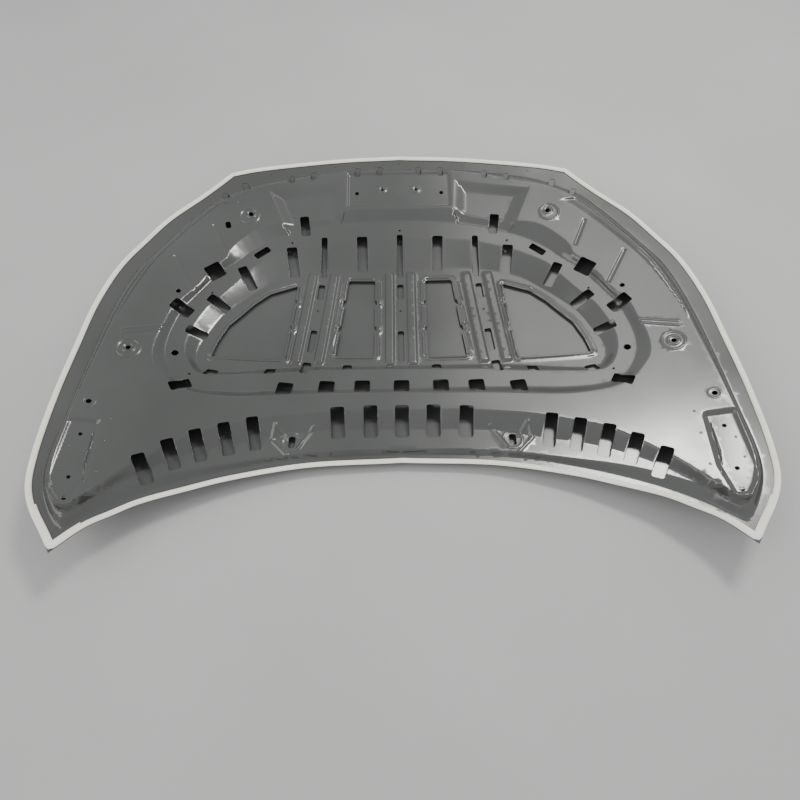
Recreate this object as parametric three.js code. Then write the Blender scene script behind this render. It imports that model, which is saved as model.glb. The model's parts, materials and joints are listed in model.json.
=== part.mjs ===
// A car bonnet lying upside down on its outer skin, inner panel up. Millimetres, +Z up, +X to the right and +Y
// towards the front edge. The origin is under the middle of the part, on the surface that it lies on.
// The outer skin is crowned both ways. The inner panel stands over it as a height field: nested closed lines
// round the part carry the levels of the stamping, and what lies between two lines is a flat or a wall.

import * as THREE from 'three';

// Overall sizes
const HALF_WIDTH = 785; // from the middle to the widest point of a side
const FRONT_Y = 596; // front edge, on the middle line
const REAR_Y = -376; // rear edge, on the middle line
const TIP_DROP = 220; // how far the rear corners reach behind the rear edge's middle
const TIP_INSET = 94; // a rear corner's tip, in from the widest point
const CORNER_INSET = 296; // a front corner, in from the widest point
const CORNER_DROP = 74; // a front corner, behind the front edge's middle

// Crown of the outer skin: the rise of its outer face above the floor
const SIDE_RISE = 102; // at the widest point
const SIDE_FLATNESS = 0.46; // share of that rise that comes late, near the side
const FRONT_RISE = 81; // at the front edge's middle
const FRONT_FLATNESS = 0.26; // share of that rise that comes late, near the front edge

// Sheets, hem and sealer
const SKIN = 0.8; // outer skin's thickness
const SHEET = 0.8; // inner panel's thickness, measured upwards
const GAP = 0.3; // between pieces that touch
const HEM_FOLD = 12; // width of the outer skin's folded edge
const FLANGE_SETBACK = 2.5; // inner panel's edge, in from the outer skin's edge
const SEALER_WIDTH = 11;
const SEALER_HEIGHT = 2.2;
const SEALER_SETBACK = 1.2; // bead's outer side, in from the outer skin's edge
const SEALER_BREAK = 3; // gap between two runs of the bead

// Levels of the inner panel above its flange
const PLATEAU = 38; // the high frame all round
const RING = 24; // the flange round the floor
const FLOOR = 7; // the low middle, with the windows
const TERRACE = 14; // the step along the rear edge, and the crease in the side walls
const HINGE_DROP = 6; // hinge pads, below the frame
const STRIKER_DROP = 2; // striker pad, below the frame
const RECESS_DROP = 9; // the two hollows in the front frame, at their deep end
const RECESS_SLOPE = 40; // run over which they get deep

// Ribs beside each beam's slots
const RIB_HEIGHT = 5;
const RIB_TOP = 9; // half width on top
const RIB_FOOT = 13; // half width at the foot
const RIB_OFFSET = 29; // from the beam's middle line to a rib's
const RIB_END = 14; // length of a rib's sloping ends

// Distances from the sides, the front edge and the rear edge, as plan coordinates
const side = (inset) => HALF_WIDTH - inset;
const front = (inset) => FRONT_Y - inset;
const rear = (inset) => REAR_Y + inset;
const TIP = [side(TIP_INSET), rear(-TIP_DROP)];
const CORNER = [side(CORNER_INSET), front(CORNER_DROP)];

// Outline, right half: the front edge, the side from the front corner to the tip, and the rear edge
const FRONT_EDGE = [[0, front(0)], [155, front(8)], [307, front(28)], [side(358), front(53)], CORNER];
const SIDE_EDGE = [CORNER, [side(225), front(153)], [side(143), front(247)], [side(92), front(334)],
  [side(48), front(428)], [side(18), front(554)], [side(6), rear(276)], [side(0), rear(136)],
  [side(4), rear(-14)], [side(15), rear(-88)], [side(36), rear(-136)], [side(70), rear(-185)], TIP];
const REAR_EDGE = [TIP, [side(144), rear(-164)], [side(186), rear(-136)], [side(232), rear(-108)],
  [side(328), rear(-71)], [381, rear(-46)], [217, rear(-12)], [0, rear(0)]];

// The stamping's lines, right half, each from the front's middle to the rear's middle
const WALL_FOOT = [[0, front(36)], [155, front(44)], [300, front(67)], [side(385), front(95)],
  [side(310), front(134)], [side(263), front(166)], [side(220), front(216)], [side(179), front(274)],
  [side(130), front(356)], [side(91), front(431)], [side(69), front(513)], [side(52), rear(346)],
  [side(42), rear(213)], [side(37), rear(101)], [side(34), rear(-24)], [side(42), rear(-79)],
  [side(61), rear(-124)], [side(84), rear(-160)], [side(97), rear(-176)], [side(135), rear(-146)],
  [side(185), rear(-112)], [side(245), rear(-79)], [side(328), rear(-45)], [381, rear(-21)],
  [300, rear(0)], [217, rear(13)], [132, rear(22)], [0, rear(25)]];
const WALL_CREASE = [[0, front(60)], [155, front(68)], [300, front(90)], [side(387), front(117)],
  [side(320), front(146)], [side(276), front(178)], [side(234), front(226)], [side(193), front(282)],
  [side(144), front(364)], [side(105), front(438)], [side(81), front(518)], [side(64), rear(346)],
  [side(53), rear(213)], [side(48), rear(101)], [side(46), rear(-24)], [side(55), rear(-76)],
  [side(74), rear(-114)], [side(97), rear(-142)], [side(112), rear(-143)], [side(135), rear(-112)],
  [side(173), rear(-84)], [side(227), rear(-56)], [side(278), rear(-36)], [side(329), rear(-21)],
  [385, rear(-6)], [300, rear(10)], [200, rear(22)], [0, rear(31)]];
const FRAME_OUTER = [[0, front(79)], [150, front(86)], [250, front(103)], [side(475), front(121)],
  [side(385), front(147)], [side(345), front(166)], [side(288), front(208)], [side(240), front(266)],
  [side(191), front(338)], [side(142), front(428)], [side(113), front(516)], [side(95), rear(376)],
  [side(85), rear(296)], [side(77), rear(226)], [side(69), rear(126)], [side(66), rear(56)],
  [side(67), rear(-64)], [side(77), rear(-104)], [side(96), rear(-128)], [side(124), rear(-124)],
  [side(148), rear(-96)], [side(195), rear(-39)], [side(235), rear(-4)], [side(285), rear(36)],
  [side(335), rear(66)], [395, rear(83)], [300, rear(108)], [150, rear(124)], [0, rear(127)]];
const FRAME_INNER = [[0, front(205)], [150, front(207)], [200, front(228)], [270, front(246)],
  [330, front(260)], [side(420), front(266)], [side(385), front(286)], [side(335), front(338)],
  [side(322), front(362)], [side(318), front(388)], [side(289), front(424)], [side(267), front(472)],
  [side(241), front(512)], [side(207), rear(410)], [side(197), rear(360)], [side(186), rear(310)],
  [side(186), rear(270)], [side(194), rear(240)], [side(219), rear(208)], [side(246), rear(180)],
  [side(289), rear(162)], [400, rear(152)], [300, rear(158)], [200, rear(165)], [0, rear(169)]];
const RING_OUTER = [[0, front(240)], [100, front(244)], [200, front(257)], [250, front(270)],
  [300, front(290)], [side(433), front(315)], [side(383), front(352)], [side(353), front(385)],
  [side(322), front(411)], [side(290), front(450)], [side(266), front(492)], [side(242), front(532)],
  [side(222), rear(380)], [side(212), rear(320)], [side(214), rear(280)], [side(224), rear(250)],
  [side(242), rear(220)], [side(263), rear(200)], [side(305), rear(184)], [400, rear(181)],
  [300, rear(188)], [200, rear(192)], [0, rear(194)]];
const RING_INNER = [[0, front(292)], [100, front(295)], [200, front(307)], [251, front(322)],
  [301, front(338)], [side(433), front(365)], [side(383), front(400)], [side(353), front(443)],
  [side(313), front(501)], [side(283), front(541)], [side(262), rear(380)], [side(250), rear(330)],
  [side(252), rear(290)], [side(267), rear(249)], [side(285), rear(229)], [side(305), rear(221)],
  [400, rear(226)], [300, rear(233)], [200, rear(243)], [0, rear(246)]];
const FLOOR_EDGE = [[0, front(389)], [100, front(391)], [200, front(393)], [300, front(419)],
  [side(450), front(436)], [side(400), front(478)], [side(355), front(521)], [side(323), front(561)],
  [side(305), rear(371)], [side(285), rear(326)], [side(278), rear(296)], [side(285), rear(264)],
  [side(305), rear(244)], [side(355), rear(246)], [300, rear(264)], [200, rear(270)], [0, rear(272)]];
// The terrace's inner line, which meets the wall's crease at its outer end
const TERRACE_END = { x: side(172), y: rear(40) }; // the crease within this is the terrace's outer side
const TERRACE_INNER = [[side(173), rear(-84)], [side(180), rear(-79)], [side(227), rear(-41)],
  [side(278), rear(-10)], [side(329), rear(13)], [406, rear(30)], [335, rear(45)], [200, rear(73)],
  [0, rear(79)]];

// Flat pads and hollows, right half
const HINGE_PAD = [[side(117), rear(60)], [side(72), rear(60)], [side(70), rear(-66)], [side(84), rear(-98)],
  [side(98), rear(-118)], [side(113), rear(-118)], [side(124), rear(-60)]];
const HINGE_PAD_WALL = 16; // run of the slope round a hinge pad
const HINGE_PAD_MIDDLE = [side(94), rear(-22)];
const STRIKER_PAD = { width: 284, near: front(196), far: front(94), slope: 7 };
const RECESS = [[158, front(110)], [378, front(150)], [330, front(262)], [300, front(292)], [170, front(262)],
  [152, front(205)]];
const RECESS_SHALLOW = [[RECESS[0], RECESS[1]], [RECESS[1], RECESS[2]], [RECESS[5], RECESS[0]]]; // from level

// Windows, right half
const WINDOW_CORNER = 9;
const BEAM_WINDOW = [[68, front(427)], [140, front(427)], [167, rear(298)], [68, rear(298)]];
const SIDE_WINDOW = [[277, front(447)], [side(438), front(476)], [side(400), front(512)], [side(366), front(556)],
  [side(342), rear(386)], [side(322), rear(334)], [side(312), rear(288)], [296, rear(286)]];

// Slots and square holes: middle, width, length, and how far the length turns anticlockwise from +Y, in degrees
const SLOT_CORNER = 5;
const SLOT_CORNER_SHARE = 0.6; // of a narrow slot's half width, at most
const FRONT_SLOTS = [[57, front(64), 17, 60, 0], [121, front(68), 17, 60, -2], [249, front(84), 17, 60, -6],
  [311, front(97), 17, 60, -10], [side(345), front(128), 17, 56, -20], [side(292), front(166), 17, 54, -26]];
const FRAME_HOLES = [[265, front(260), 26, 62, -8], [side(294), front(431), 38, 45, 50],
  [side(230), rear(414), 32, 52, -62], [side(265), rear(186), 28, 46, 60]];
const RING_HOLES = [[side(408), front(353), 20, 48, 48]];
const RAMP_SLOTS = [[104, front(343), 30, 106, -2], [209, front(356), 17, 124, -1],
  [293, front(374), 29, 88, -8], [side(375), front(436), 26, 72, -29],
  [side(311), front(524), 26, 58, -59], [side(271), rear(352), 24, 50, -78]];
const MIDDLE_RAMP_SLOT = [0, front(350), 17, 132, 0];
const BEAM_SLOTS = [[214, front(466), 18, 50, 4], [228, rear(346), 18, 70, 5]];
const MIDDLE_BEAM_SLOTS = [[0, front(464), 18, 50, 0], [0, rear(330), 17, 98, 0]];
const REAR_RING_HOLES = [[95, rear(196), 38, 40, 0], [181, rear(194), 38, 40, 2], [281, rear(188), 38, 40, 5]];
const MIDDLE_RING_HOLE = [0, rear(196), 38, 40, 0];
const FLOOR_STEP_HOLES = [[238, rear(258), 22, 44, 6], [323, rear(245), 27, 26, 0],
  [side(321), rear(236), 30, 26, 8]];
const SINGLE_STEP_HOLES = [[88, rear(260), 24, 26, 0], [-135, rear(260), 24, 26, 0]]; // no mirrored counterpart
const REAR_SLOTS = [[73, rear(98), 33, 76, -1], [149, rear(95), 33, 74, -3], [337, rear(64), 28, 78, -10],
  [396, rear(48), 28, 76, -14], [side(331), rear(29), 28, 74, -17], [side(279), rear(4), 28, 68, -21],
  [side(229), rear(-34), 28, 64, -23]];
const MIDDLE_REAR_SLOT = [0, rear(98), 33, 76, 0];
const WASHER_HOLES = [[252, rear(48), 16, 30, 0]];

// Round holes, right half: middle and diameter
const ROUND_SIDES = 12;
const ROUND_HOLES = [[48, front(142), 9], [121, front(154), 12], [side(371), front(238), 14],
  [side(216), front(511), 13], [side(234), rear(280), 17], [side(136), rear(273), 12], [side(92), rear(115), 12],
  [side(105), rear(-114), 10]];
const PROP_HOLE = [-side(313), front(280), 15, 22, 14];

// Reinforcements between the two sheets, their nuts, and the mastic
const PLATE = 1.6; // thickness of a reinforcement
const PLATE_MARGIN = 4; // a hinge reinforcement's edge, in from the pad's
const HINGE_BOLTS = [[side(94), rear(34)], [side(100), rear(-68)]];
const BOLT_HOLE = 9;
const NUT_WIDTH = 14; // across corners
const NUT_HEIGHT = 7;
const STRIKER_PLATE = { width: 300, length: 84, corner: 12 };
const [STRIKER_NUT, STRIKER_SIDE_HOLE] = ROUND_HOLES;
const NUT_SIDES = 6;
const MASTIC_RADIUS = 10;
const MASTIC_SIDES = 8;
// Dabs lie under the floor, clear of its slots, ribs and windows
const MIDDLE_MASTIC = [[0, front(428)], [0, front(530)]];
const MASTIC = [[55, rear(300)], [211, front(429)], [222, front(530)], [238, rear(296)], [side(436), front(462)],
  [side(354), front(544)], [side(297), rear(316)]];

// Mesh fineness
const LINE_STEP = 60; // longest piece of a stamping line
const EDGE_STEP = 42; // longest piece of the outline
const FILL_STEP = 80; // spacing of the points that fill the inner panel's wide areas
const SKIN_STEP = 64; // spacing of the points that fill the outer skin
const MERGE = 0.6; // points nearer than this are one
const MITRE_LIMIT = 0.5; // least share of a corner's distance that its mitre is worked out with
const FRAME_REACH = 6; // first triangle's size, as a multiple of the part's
const KEY_SPAN = 65536; // more than the number of points, so that a pair of them has one key
const TURN_TRIES = 4000; // edges turned at most for one line
const THIN = 1e-9; // a triangle with less area than this is flat
const ROUNDING = 1e-14; // share of a sum that rounding may make up
const SCATTER = 0.02; // each point is moved by up to this, so that no four lie on one circle

// Rise of the outer skin's outer face at a plan point
function crown(x, y) {
  const s = Math.abs(x) / HALF_WIDTH;
  const l = y / FRONT_Y;
  const across = SIDE_RISE * ((1 - SIDE_FLATNESS) * s ** 2 + SIDE_FLATNESS * s ** 4);
  const along = FRONT_RISE * ((1 - FRONT_FLATNESS) * l ** 2 + FRONT_FLATNESS * l ** 3);
  return across + along;
}

// The plane that touches the crown at a point
function crownPlane([px, py]) {
  const step = 1;
  const slopeX = (crown(px + step, py) - crown(px - step, py)) / (2 * step);
  const slopeY = (crown(px, py + step) - crown(px, py - step)) / (2 * step);
  return (x, y) => crown(px, py) + slopeX * (x - px) + slopeY * (y - py);
}

// Plan geometry: lines, loops and distances
const mirrored = (points) => points.map(([x, y]) => [-x, y]);

function resample(points, step) {
  const out = [points[0]];
  for (let i = 1; i < points.length; i += 1) {
    const [ax, ay] = points[i - 1];
    const [bx, by] = points[i];
    const n = Math.max(1, Math.ceil(Math.hypot(bx - ax, by - ay) / step));
    for (let k = 1; k <= n; k += 1) out.push([ax + ((bx - ax) * k) / n, ay + ((by - ay) * k) / n]);
  }
  return out;
}

function smooth(points, step) {
  const corners = points.map(([x, y]) => new THREE.Vector3(x, y, 0));
  const curve = new THREE.CatmullRomCurve3(corners, false, 'centripetal');
  const n = Math.max(points.length, Math.ceil(curve.getLength() / step));
  return curve.getSpacedPoints(n).map((p) => [p.x, p.y]);
}

// A closed line from its right half, which starts and ends on the middle line
function closed(half) {
  const left = mirrored(half).reverse().slice(1, -1);
  return [...half, ...left];
}

function segmentDistance(x, y, [ax, ay], [bx, by]) {
  const dx = bx - ax;
  const dy = by - ay;
  const t = Math.min(1, Math.max(0, ((x - ax) * dx + (y - ay) * dy) / (dx * dx + dy * dy || 1)));
  return Math.hypot(x - ax - t * dx, y - ay - t * dy);
}

function lineDistance(x, y, line, isLoop = true) {
  let best = Infinity;
  for (let i = isLoop ? 0 : 1; i < line.length; i += 1) {
    best = Math.min(best, segmentDistance(x, y, line[(i + line.length - 1) % line.length], line[i]));
  }
  return best;
}

function inside(x, y, loop) {
  let odd = false;
  for (let i = 0, j = loop.length - 1; i < loop.length; j = i, i += 1) {
    const [ax, ay] = loop[i];
    const [bx, by] = loop[j];
    if ((ay > y) !== (by > y) && x < ((bx - ax) * (y - ay)) / (by - ay) + ax) odd = !odd;
  }
  return odd;
}

// A loop moved inwards by a distance, with mitred corners
function insetLoop(loop, distance) {
  const n = loop.length;
  return loop.map(([x, y], i) => {
    const [ax, ay] = loop[(i + n - 1) % n];
    const [bx, by] = loop[(i + 1) % n];
    const before = new THREE.Vector2(x - ax, y - ay).normalize();
    const after = new THREE.Vector2(bx - x, by - y).normalize();
    const normal = new THREE.Vector2(before.y + after.y, -before.x - after.x).normalize();
    const miter = distance / Math.max(MITRE_LIMIT, normal.x * after.y - normal.y * after.x);
    return [x + normal.x * miter, y + normal.y * miter];
  });
}

// A rectangle with cut corners, turned anticlockwise, and a round hole
function slotLoop([x, y, width, length, turn], corner = SLOT_CORNER) {
  const w = width / 2;
  const l = length / 2;
  const c = Math.min(corner, w * SLOT_CORNER_SHARE);
  const half = [[w, c - l], [w, l - c], [w - c, l], [c - w, l]];
  const local = [...half, ...half.map(([u, v]) => [-u, -v])];
  const a = THREE.MathUtils.degToRad(turn);
  return local.map(([u, v]) => [x + u * Math.cos(a) - v * Math.sin(a), y + u * Math.sin(a) + v * Math.cos(a)]);
}

function roundLoop([x, y, diameter], sides = ROUND_SIDES) {
  return Array.from({ length: sides }, (_, i) => {
    const a = ((i + 0.5) * 2 * Math.PI) / sides;
    return [x + (diameter / 2) * Math.cos(a), y + (diameter / 2) * Math.sin(a)];
  });
}

function chamfered(loop, cut) {
  return loop.flatMap(([x, y], i) => {
    const towards = ([bx, by]) => {
      const d = Math.hypot(bx - x, by - y);
      return [x + ((bx - x) * cut) / d, y + ((by - y) * cut) / d];
    };
    return [towards(loop[(i + loop.length - 1) % loop.length]), towards(loop[(i + 1) % loop.length])];
  });
}

// Both halves of a list of right-half holes
const pair = (list, flip) => [...list, ...list.map(flip)];
const flipSlot = ([x, y, w, l, a]) => [-x, y, w, l, -a];
const flipRound = ([x, y, d]) => [-x, y, d];

// The outline and the stamping's lines as closed loops, clockwise from the front's middle
const OUTLINE = closed([
  ...smooth(FRONT_EDGE, EDGE_STEP),
  ...smooth(SIDE_EDGE, EDGE_STEP).slice(1),
  ...smooth(REAR_EDGE, EDGE_STEP).slice(1),
]);
const FLANGE_EDGE = insetLoop(OUTLINE, FLANGE_SETBACK);
const stampLine = (half) => closed(resample(half, LINE_STEP));
const LEVELS = [
  { loop: FLANGE_EDGE, level: 0 },
  { loop: stampLine(WALL_FOOT), level: 0 },
  { loop: stampLine(WALL_CREASE), level: TERRACE },
  { loop: stampLine(FRAME_OUTER), level: PLATEAU },
  { loop: stampLine(FRAME_INNER), level: PLATEAU },
  { loop: stampLine(RING_OUTER), level: RING },
  { loop: stampLine(RING_INNER), level: RING },
  { loop: stampLine(FLOOR_EDGE), level: FLOOR },
];
const terraceHalf = resample(TERRACE_INNER, LINE_STEP);
const TERRACE_LINE = [...terraceHalf, ...mirrored(terraceHalf).reverse()];
const CREASE_STEP = LEVELS.findIndex((line) => line.level === TERRACE);
const FRAME_STEP = CREASE_STEP + 2;
const rearCrease = LEVELS[CREASE_STEP].loop.filter(([x, y]) => y < TERRACE_END.y && Math.abs(x) < TERRACE_END.x);
const TERRACE_AREA = [...TERRACE_LINE, ...rearCrease.filter(([x]) => x < 0).reverse(),
  ...rearCrease.filter(([x]) => x >= 0).reverse()];

// Each beam's middle line, and the ribs on both sides of it
const MIDDLE_BEAM = [[0, front(395)], [0, rear(266)]];
const SIDE_BEAM = [[208, front(400)], [238, rear(270)]];
const shifted = (line, offset) => line.map(([x, y]) => [x + offset, y]);
const RIBS = [MIDDLE_BEAM, SIDE_BEAM, mirrored(SIDE_BEAM)].flatMap(
  (line) => [shifted(line, -RIB_OFFSET), shifted(line, RIB_OFFSET)],
);

function ribRise(x, y, rib) {
  const [[ax, ay], [bx, by]] = rib;
  const length = Math.hypot(bx - ax, by - ay);
  const along = ((x - ax) * (bx - ax) + (y - ay) * (by - ay)) / length;
  const across = Math.abs((x - ax) * (by - ay) - (y - ay) * (bx - ax)) / length;
  const flank = THREE.MathUtils.clamp((RIB_FOOT - across) / (RIB_FOOT - RIB_TOP), 0, 1);
  const end = THREE.MathUtils.clamp(Math.min(along, length - along) / RIB_END, 0, 1);
  return RIB_HEIGHT * Math.min(flank, end);
}

// Height of the inner panel's underside above its flange's, following the crown
function relief(x, y) {
  let zone = LEVELS.length - 1;
  while (zone > 0 && !inside(x, y, LEVELS[zone].loop)) zone -= 1;
  if (zone === LEVELS.length - 1) return FLOOR + Math.max(...RIBS.map((rib) => ribRise(x, y, rib)));
  const outer = LEVELS[zone];
  const inner = LEVELS[zone + 1];
  let fromOuter = lineDistance(x, y, outer.loop);
  const fromInner = lineDistance(x, y, inner.loop);
  if (zone === CREASE_STEP) {
    if (inside(x, y, TERRACE_AREA)) return TERRACE;
    fromOuter = Math.min(fromOuter, lineDistance(x, y, TERRACE_LINE, false));
  }
  const t = fromOuter / (fromOuter + fromInner || 1);
  let height = outer.level + (inner.level - outer.level) * t;
  if (zone === FRAME_STEP - 1 || zone === FRAME_STEP) {
    const share = zone === FRAME_STEP ? 1 - t : 1;
    height -= share * recessDepth(Math.abs(x), y);
  }
  return height;
}

// The hollows in the front frame deepen from their front and their sides towards the ring
function recessDepth(x, y) {
  if (!inside(x, y, RECESS)) return 0;
  const toSides = Math.min(...RECESS_SHALLOW.map(([from, to]) => segmentDistance(x, y, from, to)));
  return RECESS_DROP * Math.min(1, toSides / RECESS_SLOPE);
}

// Underside of the inner panel. The hinge pads and the striker pad are true planes.
const hingePlane = crownPlane(HINGE_PAD_MIDDLE);
const strikerMiddle = [0, (STRIKER_PAD.near + STRIKER_PAD.far) / 2];
const strikerPlane = crownPlane(strikerMiddle);
const BASE = SKIN + GAP;

function panelUnder(x, y) {
  const plain = crown(x, y) + relief(x, y);
  const ax = Math.abs(x);
  const padDistance = inside(ax, y, HINGE_PAD) ? 0 : lineDistance(ax, y, HINGE_PAD);
  if (padDistance < HINGE_PAD_WALL) {
    const pad = Math.min(hingePlane(ax, y) + PLATEAU - HINGE_DROP, padDistance ? plain : Infinity);
    return BASE + pad + (plain - pad) * (padDistance / HINGE_PAD_WALL);
  }
  const outX = ax - STRIKER_PAD.width / 2;
  const outY = Math.max(STRIKER_PAD.near - y, y - STRIKER_PAD.far);
  const outside = Math.max(0, outX, outY);
  if (outside < STRIKER_PAD.slope) {
    const pad = strikerPlane(x, y) + PLATEAU - STRIKER_DROP;
    return BASE + pad + (plain - pad) * (outside / STRIKER_PAD.slope);
  }
  return BASE + plain;
}

// Triangles of a plane region, with every given line kept as edges. A Delaunay mesh grows point by point in a
// table from each directed edge to the third corner of the triangle on its left, and edges that cross a kept
// line are then turned until none is left.
class PlaneMesh {
  constructor(reach) {
    this.points = [[-reach, -reach], [reach, -reach], [0, reach]];
    this.third = new Map();
    this.grid = new Map();
    this.start = [0, 1];
    this.add(0, 1, 2);
  }

  key(a, b) {
    return a * KEY_SPAN + b;
  }

  add(a, b, c) {
    this.third.set(this.key(a, b), c);
    this.third.set(this.key(b, c), a);
    this.third.set(this.key(c, a), b);
    this.start = [a, b];
  }

  remove(a, b, c) {
    this.third.delete(this.key(a, b));
    this.third.delete(this.key(b, c));
    this.third.delete(this.key(c, a));
  }

  turn(a, b, c) {
    const [p, q, r] = [this.points[a], this.points[b], this.points[c]];
    return (q[0] - p[0]) * (r[1] - p[1]) - (q[1] - p[1]) * (r[0] - p[0]);
  }

  inCircle(a, b, c, d) {
    const p = this.points[d];
    const rows = [a, b, c].map((i) => [this.points[i][0] - p[0], this.points[i][1] - p[1]]);
    const [[ax, ay], [bx, by], [cx, cy]] = rows;
    const [a2, b2, c2] = [ax * ax + ay * ay, bx * bx + by * by, cx * cx + cy * cy];
    const value = ax * (by * c2 - b2 * cy) - ay * (bx * c2 - b2 * cx) + a2 * (bx * cy - by * cx);
    return value > ROUNDING * (a2 + b2 + c2) ** 2;
  }

  insert(x, y) {
    const cell = [Math.round(x / MERGE), Math.round(y / MERGE)];
    for (let i = -1; i <= 1; i += 1) {
      for (let j = -1; j <= 1; j += 1) {
        const near = this.grid.get(`${cell[0] + i},${cell[1] + j}`);
        const [px, py] = this.points[near] ?? [Infinity, Infinity];
        if (Math.hypot(px - x, py - y) < MERGE) return near;
      }
    }
    const p = this.points.length;
    this.points.push([x + SCATTER * Math.sin(p * p), y + SCATTER * Math.cos(p * p + p)]);
    this.grid.set(`${cell[0]},${cell[1]}`, p);
    let [a, b] = this.start;
    if (this.turn(a, b, p) < 0) [a, b] = [b, a];
    for (let c = this.third.get(this.key(a, b)); ; c = this.third.get(this.key(a, b))) {
      if (this.turn(b, c, p) < 0) [a, b] = [c, b];
      else if (this.turn(c, a, p) < 0) [a, b] = [a, c];
      else break;
    }
    const c = this.third.get(this.key(a, b));
    const edges = new Map();
    const queue = [[a, b, c]];
    this.remove(a, b, c);
    while (queue.length) {
      const [u, v, w] = queue.pop();
      for (const [s, e] of [[u, v], [v, w], [w, u]]) {
        if (edges.delete(this.key(e, s))) continue;
        edges.set(this.key(s, e), [s, e]);
        const other = this.third.get(this.key(e, s));
        if (other !== undefined && this.inCircle(e, s, other, p)) {
          this.remove(e, s, other);
          queue.push([e, s, other]);
        }
      }
    }
    for (const [s, e] of edges.values()) this.add(s, e, p);
    return p;
  }

  // Turns the edges that cross the line from a to b until that line is an edge
  keep(a, b) {
    if (a === b || this.third.has(this.key(a, b)) || this.third.has(this.key(b, a))) return;
    const crossing = [];
    for (const [key, c] of this.third) {
      const [s, e] = [Math.floor(key / KEY_SPAN), key % KEY_SPAN];
      if (s < e && c !== undefined && this.crosses(a, b, s, e)) crossing.push([s, e]);
    }
    for (let tries = 0; crossing.length && tries < TURN_TRIES; tries += 1) {
      const [s, e] = crossing.shift();
      const c = this.third.get(this.key(s, e));
      const d = this.third.get(this.key(e, s));
      if (this.turn(c, d, e) > THIN && this.turn(d, c, s) > THIN) {
        this.remove(s, e, c);
        this.remove(e, s, d);
        this.add(c, s, d);
        this.add(d, e, c);
        if (this.crosses(a, b, c, d)) crossing.push([c, d]);
      } else crossing.push([s, e]);
    }
  }

  crosses(a, b, s, e) {
    if (s === a || s === b || e === a || e === b) return false;
    return this.turn(a, b, s) * this.turn(a, b, e) < 0 && this.turn(s, e, a) * this.turn(s, e, b) < 0;
  }

  triangles() {
    const list = [];
    for (const [key, c] of this.third) {
      const [a, b] = [Math.floor(key / KEY_SPAN), key % KEY_SPAN];
      if (a < b && a < c && a > 2) list.push([a, b, c]);
    }
    return list;
  }
}

// Cuts all lines at their crossings, and gives the pieces between
function cutAtCrossings(lines) {
  const pieces = lines.flatMap(({ points, loop }) => points.map((p, i) => [p, points[(i + 1) % points.length]])
    .slice(0, loop ? points.length : points.length - 1));
  const cuts = pieces.map(() => []);
  for (let i = 0; i < pieces.length; i += 1) {
    const [[ax, ay], [bx, by]] = pieces[i];
    for (let j = i + 1; j < pieces.length; j += 1) {
      const [[cx, cy], [dx, dy]] = pieces[j];
      if (Math.max(ax, bx) < Math.min(cx, dx) || Math.max(cx, dx) < Math.min(ax, bx)) continue;
      if (Math.max(ay, by) < Math.min(cy, dy) || Math.max(cy, dy) < Math.min(ay, by)) continue;
      const cross = (bx - ax) * (dy - cy) - (by - ay) * (dx - cx);
      const t = ((cx - ax) * (dy - cy) - (cy - ay) * (dx - cx)) / cross;
      const s = ((cx - ax) * (by - ay) - (cy - ay) * (bx - ax)) / cross;
      if (t > 0 && t < 1 && s > 0 && s < 1) {
        cuts[i].push(t);
        cuts[j].push(s);
      }
    }
  }
  return pieces.flatMap(([[ax, ay], [bx, by]], i) => {
    const stops = [0, ...cuts[i].sort((p, q) => p - q), 1].map((t) => [ax + (bx - ax) * t, ay + (by - ay) * t]);
    return stops.slice(1).map((p, k) => [stops[k], p]);
  });
}

// Triangles inside a boundary loop and outside its holes, with all lines kept
function meshRegion(boundary, holes, lines, fillStep) {
  const mesh = new PlaneMesh(FRAME_REACH * Math.max(HALF_WIDTH, FRONT_Y));
  const loops = [boundary, ...holes].map((points) => ({ points, loop: true }));
  const pieces = cutAtCrossings([...loops, ...lines]);
  const kept = pieces.map((ends) => ends.map(([x, y]) => mesh.insert(x, y)));
  const count = mesh.points.length;
  const rowStep = fillStep * Math.sin(Math.PI / 3);
  const xs = boundary.map(([x]) => x);
  const ys = boundary.map(([, y]) => y);
  for (let row = 0, y = Math.min(...ys); y < Math.max(...ys); row += 1, y += rowStep) {
    for (let x = Math.min(...xs) + (row % 2) * (fillStep / 2); x < Math.max(...xs); x += fillStep) {
      const free = mesh.points.slice(3, count).every(([px, py]) => Math.hypot(px - x, py - y) > fillStep / 2);
      if (free && inside(x, y, boundary)) mesh.insert(x, y);
    }
  }
  for (const [a, b] of kept) mesh.keep(a, b);
  const middle = (t, axis) => (mesh.points[t[0]][axis] + mesh.points[t[1]][axis] + mesh.points[t[2]][axis]) / 3;
  const triangles = mesh.triangles().filter((t) => {
    const [x, y] = [middle(t, 0), middle(t, 1)];
    return inside(x, y, boundary) && !holes.some((hole) => inside(x, y, hole));
  });
  return { points: mesh.points, triangles, rim: kept.slice(0, boundary.length).map(([a]) => a) };
}

// The directed edges that have a triangle on one side only
function rimEdges(triangles) {
  const edges = new Map();
  for (const [a, b, c] of triangles) {
    for (const [s, e] of [[a, b], [b, c], [c, a]]) {
      if (!edges.delete(`${e},${s}`)) edges.set(`${s},${e}`, [s, e]);
    }
  }
  return [...edges.values()];
}

function geometry(vertices, triangles) {
  const result = new THREE.BufferGeometry();
  result.setAttribute('position', new THREE.Float32BufferAttribute(vertices.flat(), 3));
  result.setIndex(triangles.flat());
  result.computeVertexNormals();
  return result;
}

// A solid between two heights over a plane region
function sheetSolid({ points, triangles }, under, over) {
  const n = points.length;
  const low = points.map(([x, y]) => [x, y, under(x, y)]);
  const high = points.map(([x, y]) => [x, y, over(x, y)]);
  const faces = triangles.flatMap(([a, b, c]) => [[a + n, b + n, c + n], [a, c, b]]);
  for (const [s, e] of rimEdges(triangles)) faces.push([s, e, e + n], [s, e + n, s + n]);
  return compact([...low, ...high], faces);
}

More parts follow.
